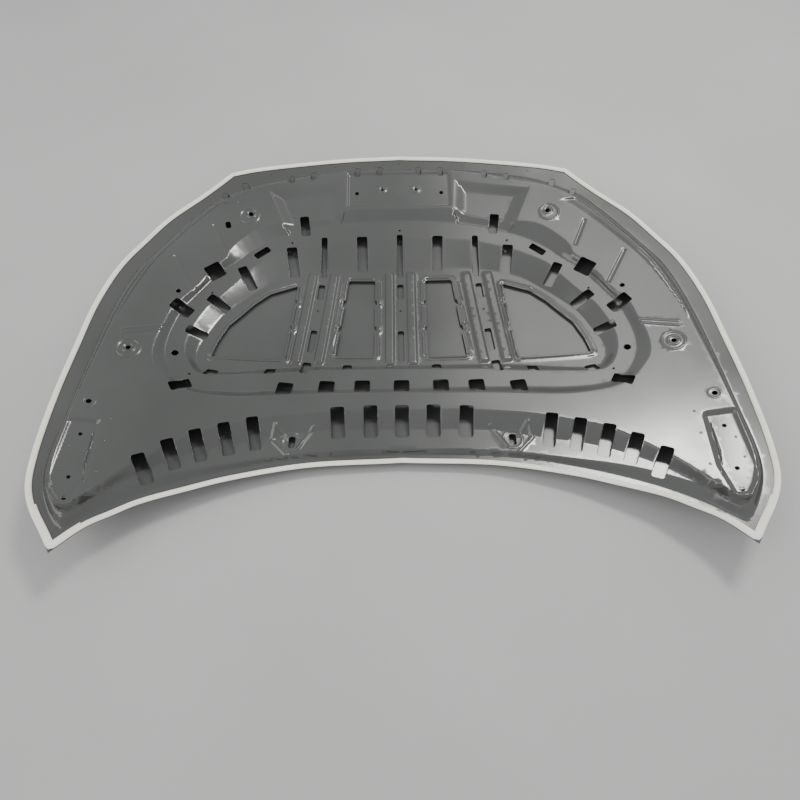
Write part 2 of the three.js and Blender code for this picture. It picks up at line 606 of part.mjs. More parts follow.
// Leaves out the vertices that no face uses
function compact(vertices, faces) {
  const used = [...new Set(faces.flat())];
  const place = new Map(used.map((v, i) => [v, i]));
  return geometry(used.map((v) => vertices[v]), faces.map((face) => face.map((v) => place.get(v))));
}

const group = new THREE.Group();
group.name = 'car_bonnet';

const COATED_STEEL = new THREE.MeshStandardMaterial({ color: 0x65665f, roughness: 0.42, metalness: 0.25 });
const SEALER = new THREE.MeshStandardMaterial({ color: 0xdcd6c4, roughness: 0.7, metalness: 0 });
const NUT_STEEL = new THREE.MeshStandardMaterial({ color: 0x77776f, roughness: 0.45, metalness: 0.7 });
const MASTIC_BLACK = new THREE.MeshStandardMaterial({ color: 0x2b2b29, roughness: 0.85, metalness: 0 });

function addMesh(name, shape, material) {
  const mesh = new THREE.Mesh(shape, material);
  mesh.name = name;
  group.add(mesh);
}

// Outer skin: a crowned sheet whose edge turns up and folds back over the inner panel's flange
function outerSkin() {
  const wallInside = insetLoop(OUTLINE, SKIN);
  const foldEnd = insetLoop(OUTLINE, HEM_FOLD);
  const flangeLine = { points: LEVELS[1].loop, loop: true };
  const { points, triangles, rim } = meshRegion(wallInside, [], [flangeLine], SKIN_STEP);
  const foldUnder = BASE + SHEET + GAP;
  const foldOver = foldUnder + SKIN;
  const vertices = [];
  const put = (list, rise) => {
    const first = vertices.length;
    for (const [x, y] of list) vertices.push([x, y, crown(x, y) + rise]);
    return first;
  };
  const low = put(points, 0);
  const high = put(points, SKIN);
  const faces = triangles.flatMap(([a, b, c]) => [[a + high, b + high, c + high], [a + low, c + low, b + low]]);
  const edgeLow = put(OUTLINE, 0);
  const edgeHigh = put(OUTLINE, foldOver);
  const wallHigh = put(wallInside, foldUnder);
  const endLow = put(foldEnd, foldUnder);
  const endHigh = put(foldEnd, foldOver);
  const n = OUTLINE.length;
  const strip = (first, second) => {
    for (let i = 0; i < n; i += 1) {
      const j = (i + 1) % n;
      faces.push([first(j), first(i), second(i)], [first(j), second(i), second(j)]);
    }
  };
  strip((i) => low + rim[i], (i) => edgeLow + i);
  strip((i) => edgeLow + i, (i) => edgeHigh + i);
  strip((i) => edgeHigh + i, (i) => endHigh + i);
  strip((i) => endHigh + i, (i) => endLow + i);
  strip((i) => endLow + i, (i) => wallHigh + i);
  strip((i) => wallHigh + i, (i) => high + rim[i]);
  return compact(vertices, faces);
}

// Inner panel: one stamping with its windows, slots and holes
const SLOTS = [
  ...[FRONT_SLOTS, FRAME_HOLES, RING_HOLES, RAMP_SLOTS, BEAM_SLOTS, REAR_RING_HOLES, FLOOR_STEP_HOLES, REAR_SLOTS,
    WASHER_HOLES].flatMap((list) => pair(list, flipSlot)),
  ...MIDDLE_BEAM_SLOTS, MIDDLE_RAMP_SLOT, MIDDLE_RING_HOLE, MIDDLE_REAR_SLOT, PROP_HOLE,
  ...SINGLE_STEP_HOLES,
];
const BOLT_HOLES = HINGE_BOLTS.map(([x, y]) => [x, y, BOLT_HOLE]);
const WINDOWS = [BEAM_WINDOW, SIDE_WINDOW].flatMap((half) => [half, mirrored(half)]);
const HOLES = [
  ...SLOTS.map((slot) => slotLoop(slot)),
  ...pair([...ROUND_HOLES, ...BOLT_HOLES], flipRound).map((hole) => roundLoop(hole)),
  ...WINDOWS.map((loop) => chamfered(loop, WINDOW_CORNER)),
];

function innerPanel() {
  const lines = LEVELS.slice(1).map(({ loop }) => ({ points: loop, loop: true }));
  lines.push({ points: TERRACE_LINE, loop: false });
  const pads = [HINGE_PAD, insetLoop(HINGE_PAD, -HINGE_PAD_WALL), RECESS];
  for (const pad of pads) lines.push({ points: pad, loop: true }, { points: mirrored(pad), loop: true });
  const half = STRIKER_PAD.width / 2;
  for (const grow of [0, STRIKER_PAD.slope]) {
    const [w, near, far] = [half + grow, STRIKER_PAD.near - grow, STRIKER_PAD.far + grow];
    const frame = [[-w, near], [w, near], [w, far], [-w, far], [-w, near]];
    lines.push({ points: resample(frame, FILL_STEP), loop: false });
  }
  for (const [[ax, ay], [bx, by]] of RIBS) {
    for (const offset of [-RIB_FOOT, -RIB_TOP, RIB_TOP, RIB_FOOT]) {
      const end = Math.abs(offset) === RIB_TOP ? RIB_END : 0;
      const line = [[ax + offset, ay - end], [bx + offset, by + end]];
      lines.push({ points: resample(line, FILL_STEP), loop: false });
    }
  }
  const region = meshRegion(FLANGE_EDGE, HOLES, lines, FILL_STEP);
  return sheetSolid(region, panelUnder, (x, y) => panelUnder(x, y) + SHEET);
}

// Hem sealer: a bead with a low round back on the folded edge, laid in runs between two stations of the outline
// The bead's section: across and up, as shares of its width and height
const BEAD_PROFILE = [[0, 0], [0, 0.55], [0.3, 1], [0.7, 1], [1, 0.55], [1, 0]];

function sealerRun(from, to) {
  const total = OUTLINE.length;
  const n = ((to - from + total) % total) + 1;
  const bottom = BASE + SHEET + GAP + SKIN + GAP;
  const rows = BEAD_PROFILE.map(([across, rise]) => {
    const whole = insetLoop(OUTLINE, SEALER_SETBACK + SEALER_WIDTH * across);
    const line = Array.from({ length: n }, (_, i) => whole[(from + i) % total]);
    const ends = [[0, 1], [n - 1, n - 2]].map(([end, next]) => {
      const [[ax, ay], [bx, by]] = [line[end], line[next]];
      const share = SEALER_BREAK / 2 / Math.hypot(bx - ax, by - ay);
      return [ax + (bx - ax) * share, ay + (by - ay) * share];
    });
    [line[0], line[n - 1]] = ends;
    return line.map(([x, y]) => [x, y, crown(x, y) + bottom + SEALER_HEIGHT * rise]);
  });
  const m = rows.length;
  const faces = [];
  for (let k = 0; k < m; k += 1) {
    const a = k * n;
    const b = ((k + 1) % m) * n;
    for (let i = 0; i + 1 < n; i += 1) faces.push([a + i, b + i + 1, a + i + 1], [a + i, b + i, b + i + 1]);
    if (k > 0 && k + 1 < m) faces.push([0, b, a], [n - 1, a + n - 1, b + n - 1]);
  }
  return geometry(rows.flat(), faces);
}

// The station of the outline that lies nearest to a point
const nearestStation = ([x, y]) => OUTLINE.reduce((best, [px, py], i) => {
  const [bx, by] = OUTLINE[best];
  return Math.hypot(px - x, py - y) < Math.hypot(bx - x, by - y) ? i : best;
}, 0);

// A plate under a flat part of the inner panel, with round holes
function plateUnder(loop, holes, plane, level) {
  const region = meshRegion(loop, holes.map((hole) => roundLoop(hole)), [], FILL_STEP);
  const over = (x, y) => BASE + plane(x, y) + level - GAP;
  return sheetSolid(region, (x, y) => over(x, y) - PLATE, over);
}

// A nut under such a plate, with the bolt's hole through it
function nutUnder([x, y], hole, plane, level) {
  const [rim, bore] = [NUT_WIDTH, hole].map((diameter) => roundLoop([x, y, diameter], NUT_SIDES));
  const region = meshRegion(rim, [bore], [], FILL_STEP);
  const over = (px, py) => BASE + plane(px, py) + level - GAP - PLATE - GAP;
  return sheetSolid(region, (px, py) => over(px, py) - NUT_HEIGHT, over);
}

// A dab of mastic between the outer skin and the floor of the inner panel
function masticDab([x, y]) {
  const region = meshRegion(roundLoop([x, y, 2 * MASTIC_RADIUS], MASTIC_SIDES), [], [], FILL_STEP);
  const under = (px, py) => crown(px, py) + BASE;
  return sheetSolid(region, under, (px, py) => under(px, py) + FLOOR - GAP);
}

addMesh('outer_skin', outerSkin(), COATED_STEEL);
addMesh('inner_panel', innerPanel(), COATED_STEEL);

const right = { name: 'right', flip: (p) => p };
const left = { name: 'left', flip: ([x, y]) => [-x, y] };
for (const { name, flip } of [right, left]) {
  const plane = crownPlane(flip(HINGE_PAD_MIDDLE));
  const level = PLATEAU - HINGE_DROP;
  const outline = insetLoop(HINGE_PAD, PLATE_MARGIN).map(flip);
  const loop = name === 'left' ? outline.reverse() : outline;
  const bolts = HINGE_BOLTS.map(flip);
  const holes = bolts.map(([x, y]) => [x, y, BOLT_HOLE]);
  addMesh(`hinge_reinforcement_${name}`, plateUnder(loop, holes, plane, level), COATED_STEEL);
  bolts.forEach((bolt, i) => {
    addMesh(`hinge_nut_${name}_${['front', 'rear'][i]}`, nutUnder(bolt, BOLT_HOLE, plane, level), NUT_STEEL);
  });
}

const strikerLevel = PLATEAU - STRIKER_DROP;
const strikerNuts = [STRIKER_NUT, flipRound(STRIKER_NUT)];
const strikerHoles = [...strikerNuts, STRIKER_SIDE_HOLE, flipRound(STRIKER_SIDE_HOLE)];
const { width, length, corner } = STRIKER_PLATE;
const strikerOutline = slotLoop([...strikerMiddle, width, length, 0], corner);
const strikerPlate = plateUnder(strikerOutline, strikerHoles, strikerPlane, strikerLevel);
addMesh('striker_reinforcement', strikerPlate, COATED_STEEL);
strikerNuts.forEach((nut, i) => {
  const shape = nutUnder(nut, nut[2], strikerPlane, strikerLevel);
  addMesh(`striker_nut_${['right', 'left'][i]}`, shape, NUT_STEEL);
});

MIDDLE_MASTIC.forEach((spot, i) => addMesh(`mastic_dab_middle_${i + 1}`, masticDab(spot), MASTIC_BLACK));
MASTIC.forEach((spot, i) => {
  for (const { name, flip } of [right, left]) {
    addMesh(`mastic_dab_${name}_${i + 1}`, masticDab(flip(spot)), MASTIC_BLACK);
  }
});

const SEALER_ENDS = [CORNER, [side(36), rear(-136)], [side(144), rear(-164)]];
const [cornerStation, sideStation, rearStation] = SEALER_ENDS.map((end) => nearestStation(end));
const opposite = (station) => OUTLINE.length - station;
addMesh('hem_sealer_front', sealerRun(opposite(cornerStation), cornerStation), SEALER);
addMesh('hem_sealer_right', sealerRun(cornerStation, sideStation), SEALER);
addMesh('hem_sealer_corner_right', sealerRun(sideStation, rearStation), SEALER);
addMesh('hem_sealer_rear', sealerRun(rearStation, opposite(rearStation)), SEALER);
addMesh('hem_sealer_corner_left', sealerRun(opposite(rearStation), opposite(sideStation)), SEALER);
addMesh('hem_sealer_left', sealerRun(opposite(sideStation), opposite(cornerStation)), SEALER);

export default group;
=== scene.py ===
"""A car bonnet lying on its outer skin, inner panel up. The stamped inner panel, the hemmed outer skin and
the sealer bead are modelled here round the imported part. Plan sizes are millimetres in the part's own frame,
and become metres when a mesh is made."""

import json
import math

import bmesh
import bpy
import numpy as np
from mathutils import Euler, Matrix, Vector
from mathutils.geometry import delaunay_2d_cdt
from mathutils.kdtree import KDTree


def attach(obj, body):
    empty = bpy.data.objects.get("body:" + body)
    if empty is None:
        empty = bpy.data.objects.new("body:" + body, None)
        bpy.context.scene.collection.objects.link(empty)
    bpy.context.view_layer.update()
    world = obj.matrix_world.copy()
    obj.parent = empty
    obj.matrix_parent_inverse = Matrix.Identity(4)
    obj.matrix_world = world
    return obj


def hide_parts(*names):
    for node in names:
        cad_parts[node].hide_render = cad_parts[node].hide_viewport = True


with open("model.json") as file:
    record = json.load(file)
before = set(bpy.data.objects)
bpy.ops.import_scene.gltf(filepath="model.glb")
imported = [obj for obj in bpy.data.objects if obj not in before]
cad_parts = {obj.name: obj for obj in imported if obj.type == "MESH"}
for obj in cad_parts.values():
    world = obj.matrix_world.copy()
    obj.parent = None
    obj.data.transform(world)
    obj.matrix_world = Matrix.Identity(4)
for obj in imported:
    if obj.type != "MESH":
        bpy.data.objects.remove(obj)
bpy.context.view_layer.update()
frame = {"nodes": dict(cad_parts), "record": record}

MM = 0.001

# Overall sizes
HALF_WIDTH = 785
FRONT_Y = 596
REAR_Y = -376
TIP_INSET = 94
TIP_DROP = 220
CORNER_INSET = 296
CORNER_DROP = 74

# Crown of the outer skin
SIDE_RISE = 102
SIDE_FLATNESS = 0.46
FRONT_RISE = 81
FRONT_FLATNESS = 0.26

# Sheets, hem and sealer
SKIN = 0.8
SHEET = 0.8
GAP = 0.3
BASE = SKIN + GAP
HEM_FOLD = 12
HEM_ROUND_STEPS = 7
HEM_TURN = 2.2  # where the rolled edge meets the flat skin, in from the rim
HEM_INSIDE = 2.4  # where the fold starts inside
HEM_BEVEL = 0.4
SKIN_FILL_SETBACK = 12
FLANGE_SETBACK = 2.5
SEALER_WIDTH = 12.4
CORNER_SEALER_WIDTH = 15.5
SEALER_HEIGHT = 2.1
SEALER_SETBACK = 0.4
SEALER_OVERLAP = 3
RIM_SETBACK = 0.05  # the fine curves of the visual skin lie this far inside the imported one's facets
SKIN_LIFT = 0.06
PANEL_DROP = 0.06

# Levels of the inner panel above its flange
PLATEAU = 38
RING = 24
FLOOR = 7
TERRACE = 14
HINGE_DROP = 6
HINGE_PAD_WALL = 16
STRIKER_DROP = 2
RECESS_DROP = 9
RECESS_SLOPE = 40
CREASE_RADIUS = 7
BEND_SHARE = (0.03, 0.48)  # least and most of a wall that one bend takes

# Ribs
RIB_HEIGHT = 5
RIB_TOP = 9
RIB_FOOT = 13
RIB_OFFSET = 29
RIB_END = 14

# Mesh fineness
COARSE = 15
FINE = 5.5
CREASE_STEP_LENGTH = 10
FEATURE_STEP = 5
POINT_CLEARANCE = 2.2  # between a fill point and any line
SKIN_STEP = 22
HEM_STEP = 12
SHARP_ANGLE = 48
BEND_LIMIT = 0.12  # a fine point is kept where the sheet leaves its chord by more than this
DIAGONAL = 0.7
OFF_GRID = 0.013  # keeps the fine points off the coarse ones
LEVEL_STEP = 26
CURVE_STEPS = 12
WELD_REACH = 0.00002
MERGE_REACH = 1e-4
LEAST_AREA = 1e-9


def side(inset):
    return HALF_WIDTH - inset


def front(inset):
    return FRONT_Y - inset


def rear(inset):
    return REAR_Y + inset


TIP = (side(TIP_INSET), rear(-TIP_DROP))
CORNER = (side(CORNER_INSET), front(CORNER_DROP))

FRONT_EDGE = [
    (0, front(0)), (155, front(8)), (307, front(28)), (side(358), front(53)), CORNER]
SIDE_EDGE = [
    CORNER, (side(225), front(153)), (side(143), front(247)), (side(92), front(334)),
    (side(48), front(428)), (side(18), front(554)), (side(6), rear(276)), (side(0), rear(136)),
    (side(4), rear(-14)), (side(15), rear(-88)), (side(36), rear(-136)), (side(70), rear(-185)), TIP]
REAR_EDGE = [
    TIP, (side(144), rear(-164)), (side(186), rear(-136)), (side(232), rear(-108)), (side(328), rear(-71)),
    (381, rear(-46)), (217, rear(-12)), (0, rear(0))]

WALL_FOOT = [
    (0, front(36)), (155, front(44)), (300, front(67)), (side(385), front(95)), (side(310), front(134)),
    (side(263), front(166)), (side(220), front(216)), (side(179), front(274)), (side(130), front(356)),
    (side(91), front(431)), (side(69), front(513)), (side(52), rear(346)), (side(42), rear(213)),
    (side(37), rear(101)), (side(34), rear(-24)), (side(42), rear(-79)), (side(61), rear(-124)),
    (side(84), rear(-160)), (side(97), rear(-176)), (side(135), rear(-146)), (side(185), rear(-112)),
    (side(245), rear(-79)), (side(328), rear(-45)), (381, rear(-21)), (300, rear(0)), (217, rear(13)),
    (132, rear(22)), (0, rear(25))]
WALL_CREASE = [
    (0, front(60)), (155, front(68)), (300, front(90)), (side(387), front(117)), (side(320), front(146)),
    (side(276), front(178)), (side(234), front(226)), (side(193), front(282)), (side(144), front(364)),
    (side(105), front(438)), (side(81), front(518)), (side(64), rear(346)), (side(53), rear(213)),
    (side(48), rear(101)), (side(46), rear(-24)), (side(55), rear(-76)), (side(74), rear(-114)),
    (side(97), rear(-142)), (side(112), rear(-143)), (side(135), rear(-112)), (side(173), rear(-84)),
    (side(227), rear(-56)), (side(278), rear(-36)), (side(329), rear(-21)), (385, rear(-6)),
    (300, rear(10)), (200, rear(22)), (0, rear(31))]
FRAME_OUTER = [
    (0, front(79)), (150, front(86)), (250, front(103)), (side(475), front(121)), (side(385), front(147)),
    (side(345), front(166)), (side(288), front(208)), (side(240), front(266)), (side(191), front(338)),
    (side(142), front(428)), (side(113), front(516)), (side(95), rear(376)), (side(85), rear(296)),
    (side(77), rear(226)), (side(69), rear(126)), (side(66), rear(56)), (side(67), rear(-64)),
    (side(77), rear(-104)), (side(96), rear(-128)), (side(124), rear(-124)), (side(148), rear(-96)),
    (side(195), rear(-39)), (side(235), rear(-4)), (side(285), rear(36)), (side(335), rear(66)),
    (395, rear(83)), (300, rear(108)), (150, rear(124)), (0, rear(127))]
FRAME_INNER = [
    (0, front(205)), (150, front(207)), (200, front(228)), (270, front(246)), (330, front(260)),
    (side(420), front(266)), (side(385), front(286)), (side(335), front(338)), (side(322), front(362)),
    (side(318), front(388)), (side(289), front(424)), (side(267), front(472)), (side(241), front(512)),
    (side(207), rear(410)), (side(197), rear(360)), (side(186), rear(310)), (side(186), rear(270)),
    (side(194), rear(240)), (side(219), rear(208)), (side(246), rear(180)), (side(289), rear(162)),
    (400, rear(152)), (300, rear(158)), (200, rear(165)), (0, rear(169))]
RING_OUTER = [
    (0, front(240)), (100, front(244)), (200, front(257)), (250, front(270)), (300, front(290)),
    (side(433), front(315)), (side(383), front(352)), (side(353), front(385)), (side(322), front(411)),
    (side(290), front(450)), (side(266), front(492)), (side(242), front(532)), (side(222), rear(380)),
    (side(212), rear(320)), (side(214), rear(280)), (side(224), rear(250)), (side(242), rear(220)),
    (side(263), rear(200)), (side(305), rear(184)), (400, rear(181)), (300, rear(188)), (200, rear(192)),
    (0, rear(194))]
RING_INNER = [
    (0, front(292)), (100, front(295)), (200, front(307)), (251, front(322)), (301, front(338)),
    (side(433), front(365)), (side(383), front(400)), (side(353), front(443)), (side(313), front(501)),
    (side(283), front(541)), (side(262), rear(380)), (side(250), rear(330)), (side(252), rear(290)),
    (side(267), rear(249)), (side(285), rear(229)), (side(305), rear(221)), (400, rear(226)),
    (300, rear(233)), (200, rear(243)), (0, rear(246))]
FLOOR_EDGE = [
    (0, front(389)), (100, front(391)), (200, front(393)), (300, front(419)), (side(450), front(436)),
    (side(400), front(478)), (side(355), front(521)), (side(323), front(561)), (side(305), rear(371)),
    (side(285), rear(326)), (side(278), rear(296)), (side(285), rear(264)), (side(305), rear(244)),
    (side(355), rear(246)), (300, rear(264)), (200, rear(270)), (0, rear(272))]
TERRACE_INNER = [
    (side(173), rear(-84)), (side(180), rear(-79)), (side(227), rear(-41)), (side(278), rear(-10)),
    (side(329), rear(13)), (406, rear(30)), (335, rear(45)), (200, rear(73)), (0, rear(79))]
TERRACE_END_X = side(172)
TERRACE_END_Y = rear(40)
SEALER_ENDS = (CORNER, (side(36), rear(-136)), (side(144), rear(-164)))

HINGE_PAD = [
    (side(117), rear(60)), (side(72), rear(60)), (side(70), rear(-66)), (side(84), rear(-98)),
    (side(98), rear(-118)), (side(113), rear(-118)), (side(124), rear(-60))]
HINGE_PAD_MIDDLE = (side(94), rear(-22))
STRIKER_NEAR = front(196)
STRIKER_FAR = front(94)
STRIKER_HALF = 142
STRIKER_SLOPE = 7
RECESS = [
    (158, front(110)), (378, front(150)), (330, front(262)), (300, front(292)), (170, front(262)),
    (152, front(205))]
RECESS_SHALLOW = ((0, 1), (1, 2), (5, 0))

# Windows, with the small square notches of their long edges
WINDOW_CORNER = 9
NOTCH_DEPTH = 5
NOTCH_HALF = 9
NOTCH_ROWS = (95, 10)
BEAM_WINDOW = [(68, front(427)), (140, front(427)), (167, rear(298)), (68, rear(298))]
SIDE_WINDOW = [
    (277, front(447)), (side(438), front(476)), (side(400), front(512)), (side(366), front(556)),
    (side(342), rear(386)), (side(322), rear(334)), (side(312), rear(288)), (296, rear(286))]

# Slots: middle, width, length, and the turn of the length anticlockwise from +Y, in degrees
SLOT_CORNER = 6
SLOT_ROUND_SHARE = 0.8  # most of a half width that a corner takes
EDGE_SHARE = 0.45  # most of an edge that a corner takes
PAIRED_SLOTS = [
    (57, front(64), 17, 60, 0), (121, front(68), 17, 60, -2), (249, front(84), 17, 60, -6),
    (311, front(97), 17, 60, -10), (side(345), front(128), 17, 56, -20),
    (side(292), front(166), 17, 54, -26), (265, front(260), 26, 62, -8),
    (side(294), front(431), 38, 45, 50), (side(230), rear(414), 32, 52, -62),
    (side(265), rear(186), 28, 46, 60), (side(408), front(353), 20, 48, 48), (104, front(343), 30, 106, -2),
    (209, front(356), 17, 124, -1), (293, front(374), 29, 88, -8), (side(375), front(436), 26, 72, -29),
    (side(311), front(524), 26, 58, -59), (side(271), rear(352), 24, 50, -78), (214, front(466), 18, 50, 4),
    (228, rear(346), 18, 70, 5), (95, rear(196), 38, 40, 0), (181, rear(194), 38, 40, 2),
    (281, rear(188), 38, 40, 5), (238, rear(258), 22, 44, 6), (323, rear(245), 27, 26, 0),
    (side(321), rear(236), 30, 26, 8), (73, rear(98), 33, 76, -1), (149, rear(95), 33, 74, -3),
    (337, rear(64), 28, 78, -10), (396, rear(48), 28, 76, -14), (side(331), rear(29), 28, 74, -17),
    (side(279), rear(4), 28, 68, -21), (side(229), rear(-34), 28, 64, -23), (252, rear(48), 16, 30, 0)]
SINGLE_SLOTS = [
    (0, front(350), 17, 132, 0), (0, front(464), 18, 50, 0), (0, rear(330), 17, 98, 0),
    (0, rear(196), 38, 40, 0), (0, rear(98), 33, 76, 0), (88, rear(260), 24, 26, 0),
    (-135, rear(260), 24, 26, 0), (-side(313), front(280), 15, 22, 14)]

# Round holes: middle and diameter
PAIRED_HOLES = [
    (48, front(142), 9), (121, front(154), 12), (side(371), front(238), 14), (side(216), front(511), 13),
    (side(234), rear(280), 17), (side(136), rear(273), 12), (side(92), rear(115), 12),
    (side(105), rear(-114), 10), (side(94), rear(34), 9), (side(100), rear(-68), 9), (189, front(36), 7),
    (378, front(69), 7), (298, front(316), 7), (492, front(496), 6), (508, rear(222), 6),
    (220, front(528), 7)]
SINGLE_HOLES = [(0, front(24), 7), (0, front(270), 7), (0, front(528), 7)]
HOLE_SIDES = 20

# Embossings, right half. Rings: middle, radius, half width, height.
RINGS = [
    ((648, -103), 25, 4, 1.6), ((648, -103), 12, 4, 2.2), ((418, 352), 25, 4, 1.4),
    ((414, 358), 11, 4, 2.0), ((48, 454), 9, 4.5, 1.6), ((252, -328), 22, 5, 1.2),
    ((693, -261), 12, 4, 0.7)]
# Raised or sunk beads: their line, half width and height
BEADS = [
    (((588, -25), (673, -50)), 4.5, 1.8), (((590, -38), (672, -63)), 4.5, 1.8),
    (((507, 310), (475, 238)), 8, -2.2), (((592, 195), (540, 105)), 8, -2.2),
    (((665, -335), (664, -400), (655, -450)), 5, 3.2), (((205, -290), (222, -318), (238, -345)), 6, 2.4),
    (((265, -320), (290, -288), (297, -325), (262, -360)), 6, 2.4), (((57, -75), (57, -20)), 3.5, 1.6),
    (((57, 10), (57, 80)), 3.5, 1.6), (((57, 95), (57, 160)), 3.5, 1.6),
    (((158, 160), (165, 100)), 3.5, 1.6), (((166, 80), (172, 20)), 3.5, 1.6),
    (((173, -10), (181, -65)), 3.5, 1.6), (((264, 150), (270, 95)), 3.5, 1.6),
    (((271, 65), (277, 5)), 3.5, 1.6), (((278, -20), (286, -90)), 3.5, 1.6)]
DIMPLES = [
    (642, -300), (640, -355), (637, -430), (704, -372), (706, -420), (560, 40), (455, 395)]
DIMPLE_RADIUS = 3.2
DIMPLE_HEIGHT = 0.9
DIMPLE_SEGMENTS = 20
DIMPLE_RINGS = 10
# The bright band inside the frame's outer edge, along each side: its width at the front, and where it ends
BAND_WIDTH = 30
BAND_DROP = 2.6
BAND_FADE = 8
BAND_FRONT = front(206)
BAND_REAR = rear(316)
WINDOW_BEAD_OFFSET = 11
WINDOW_BEAD_HALF = 5
WINDOW_BEAD_HEIGHT = 1.7

# Geometry Nodes and materials
LIP_RADIUS = 0.55
LIP_SIDES = 6
BEAD_STEP = 5
BEAD_LUMPS = 26
BEAD_LUMP_RANGE = (0.25, 0.75)
BEAD_UNEVENNESS = 0.1
BEAD_SEED = 4.0
BEAD_SECTION_POINTS = 11
NOISE_RANGE = (0.3, 0.7)
RAMP_STOPS = (0.32, 0.68)

# The photograph's view: a camera behind the rear edge, looking down at 60 degrees
CAMERA_PLACE = (0, -0.9153, 1.2406)
CAMERA_TILT = 30
CAMERA_ROLL = -0.75
SENSOR_WIDTH = 36
FOCAL_PIXELS = 586
FRAME_PIXELS = 800
SHIFT_PIXELS = -1.8
CAMERA_LENS = SENSOR_WIDTH * FOCAL_PIXELS / FRAME_PIXELS
CAMERA_SHIFT = SHIFT_PIXELS / FRAME_PIXELS

# The stage: metres and watts. Lights: place, target, size and power.
FLOOR_REACH = 9
WORLD_COLOR = (0.82, 0.84, 0.88, 1)
WORLD_STRENGTH = 0.92
LIGHTS = {
    "panel_light": ((1.15, 1.3, 3.2), (0.6, -0.35, 0), (0.9, 0.55), 64),
    "front_light": ((0.75, 2.3, 3.2), (0.4, 0.2, 0), (0.8, 0.5), 3.5),
    "fill_light": ((-2.6, -0.6, 3.2), (0, 0, 0), (2.4, 2.4), 40)}


# Plan geometry
def crown(p):
    """Rise of the outer skin's outer face at plan points."""
    s = np.abs(p[:, 0]) / HALF_WIDTH
    l = p[:, 1] / FRONT_Y
    across = SIDE_RISE * ((1 - SIDE_FLATNESS) * s**2 + SIDE_FLATNESS * s**4)
    return across + FRONT_RISE * ((1 - FRONT_FLATNESS) * l**2 + FRONT_FLATNESS * l**3)


def crown_plane(middle):
    """The plane that touches the crown at a point, as a function of plan points."""
    steps = np.array([middle, (middle[0] + 1, middle[1]), (middle[0] - 1, middle[1]),
                      (middle[0], middle[1] + 1), (middle[0], middle[1] - 1)], float)
    here, east, west, north, south = crown(steps)
    slope = np.array([(east - west) / 2, (north - south) / 2])
    return lambda p: here + (p - np.array(middle)) @ slope


def mirrored(points):
    return [(-x, y) for x, y in points]


def even(points, step):
    """Points at even steps along a polyline."""
    lengths = np.hypot(*np.diff(points, axis=0).T)
    along = np.concatenate([[0], np.cumsum(lengths)])
    count = max(1, math.ceil(along[-1] / step))
    stops = np.linspace(0, along[-1], count + 1)
    return np.column_stack([np.interp(stops, along, points[:, k]) for k in (0, 1)])


def refined(points, step, is_loop):
    """The same line with points added, so that none of its pieces is longer than a step."""
    ends = np.vstack([points, points[:1]]) if is_loop else np.array(points, float)
    pieces = [even(np.array(pair), step)[:-1] for pair in zip(ends, ends[1:])]
    return np.vstack(pieces if is_loop else pieces + [ends[-1:]])


def around(line, reach):
    """A loop at an even distance round an open line, with square ends."""
    line = np.array(line, float)
    steps = np.diff(line, axis=0)
    steps /= np.hypot(*steps.T)[:, None]
    turn = np.vstack([steps[:1], steps]) + np.vstack([steps, steps[-1:]])
    turn /= np.hypot(*turn.T)[:, None]
    across = np.column_stack([turn[:, 1], -turn[:, 0]]) * reach
    line[0] -= steps[0] * reach
    line[-1] += steps[-1] * reach
    return np.vstack([line + across, (line - across)[::-1]])


def smooth(points, step):
    """A centripetal Catmull-Rom curve through the points, at even steps."""
    p = np.array(points, float)
    p = np.vstack([2 * p[0] - p[1], p, 2 * p[-1] - p[-2]])
    out = []
    for a, b, c, d in zip(p, p[1:], p[2:], p[3:]):
        t1 = math.sqrt(np.hypot(*(b - a)))
        t2 = t1 + math.sqrt(np.hypot(*(c - b)))
        t3 = t2 + math.sqrt(np.hypot(*(d - c)))
        t = np.linspace(t1, t2, CURVE_STEPS + 1)[:-1, None]
        ab = (t1 - t) / t1 * a + t / t1 * b
        bc = (t2 - t) / (t2 - t1) * b + (t - t1) / (t2 - t1) * c
        cd = (t3 - t) / (t3 - t2) * c + (t - t2) / (t3 - t2) * d
        abc = (t2 - t) / t2 * ab + t / t2 * bc
        bcd = (t3 - t) / (t3 - t1) * bc + (t - t1) / (t3 - t1) * cd
        out.append((t2 - t) / (t2 - t1) * abc + (t - t1) / (t2 - t1) * bcd)
    return even(np.vstack(out + [p[-2][None]]), step)


def closed(half):
    """A closed line from its right half, which starts and ends on the middle line."""
    return np.vstack([half, half[::-1][1:-1] * (-1, 1)])


def inside(p, loop):
    odd = np.zeros(len(p), bool)
    for (ax, ay), (bx, by) in zip(loop, np.roll(loop, -1, axis=0)):
        if ay != by:
            spans = (ay > p[:, 1]) != (by > p[:, 1])
            odd ^= spans & (p[:, 0] < (bx - ax) * (p[:, 1] - ay) / (by - ay) + ax)
    return odd


def distance(p, line, loop=True):
    line = np.asarray(line, float)
    starts, ends = (line, np.roll(line, -1, axis=0)) if loop else (line[:-1], line[1:])
    best = np.full(len(p), np.inf)
    for s, e in zip(starts, ends):
        d = e - s
        t = np.clip((p - s) @ d / max(d @ d, 1e-9), 0, 1)
        best = np.minimum(best, np.hypot(*(p - s - t[:, None] * d).T))
    return best


def inset(loop, by):
    """A loop moved inwards, with mitred corners."""
    before = loop - np.roll(loop, 1, axis=0)
    after = np.roll(loop, -1, axis=0) - loop
    before /= np.hypot(*before.T)[:, None]
    after /= np.hypot(*after.T)[:, None]
    normal = np.column_stack([before[:, 1] + after[:, 1], -before[:, 0] - after[:, 0]])
    normal /= np.hypot(*normal.T)[:, None]
    share = np.maximum(0.5, normal[:, 0] * after[:, 1] - normal[:, 1] * after[:, 0])
    return loop + normal * (by / share)[:, None]


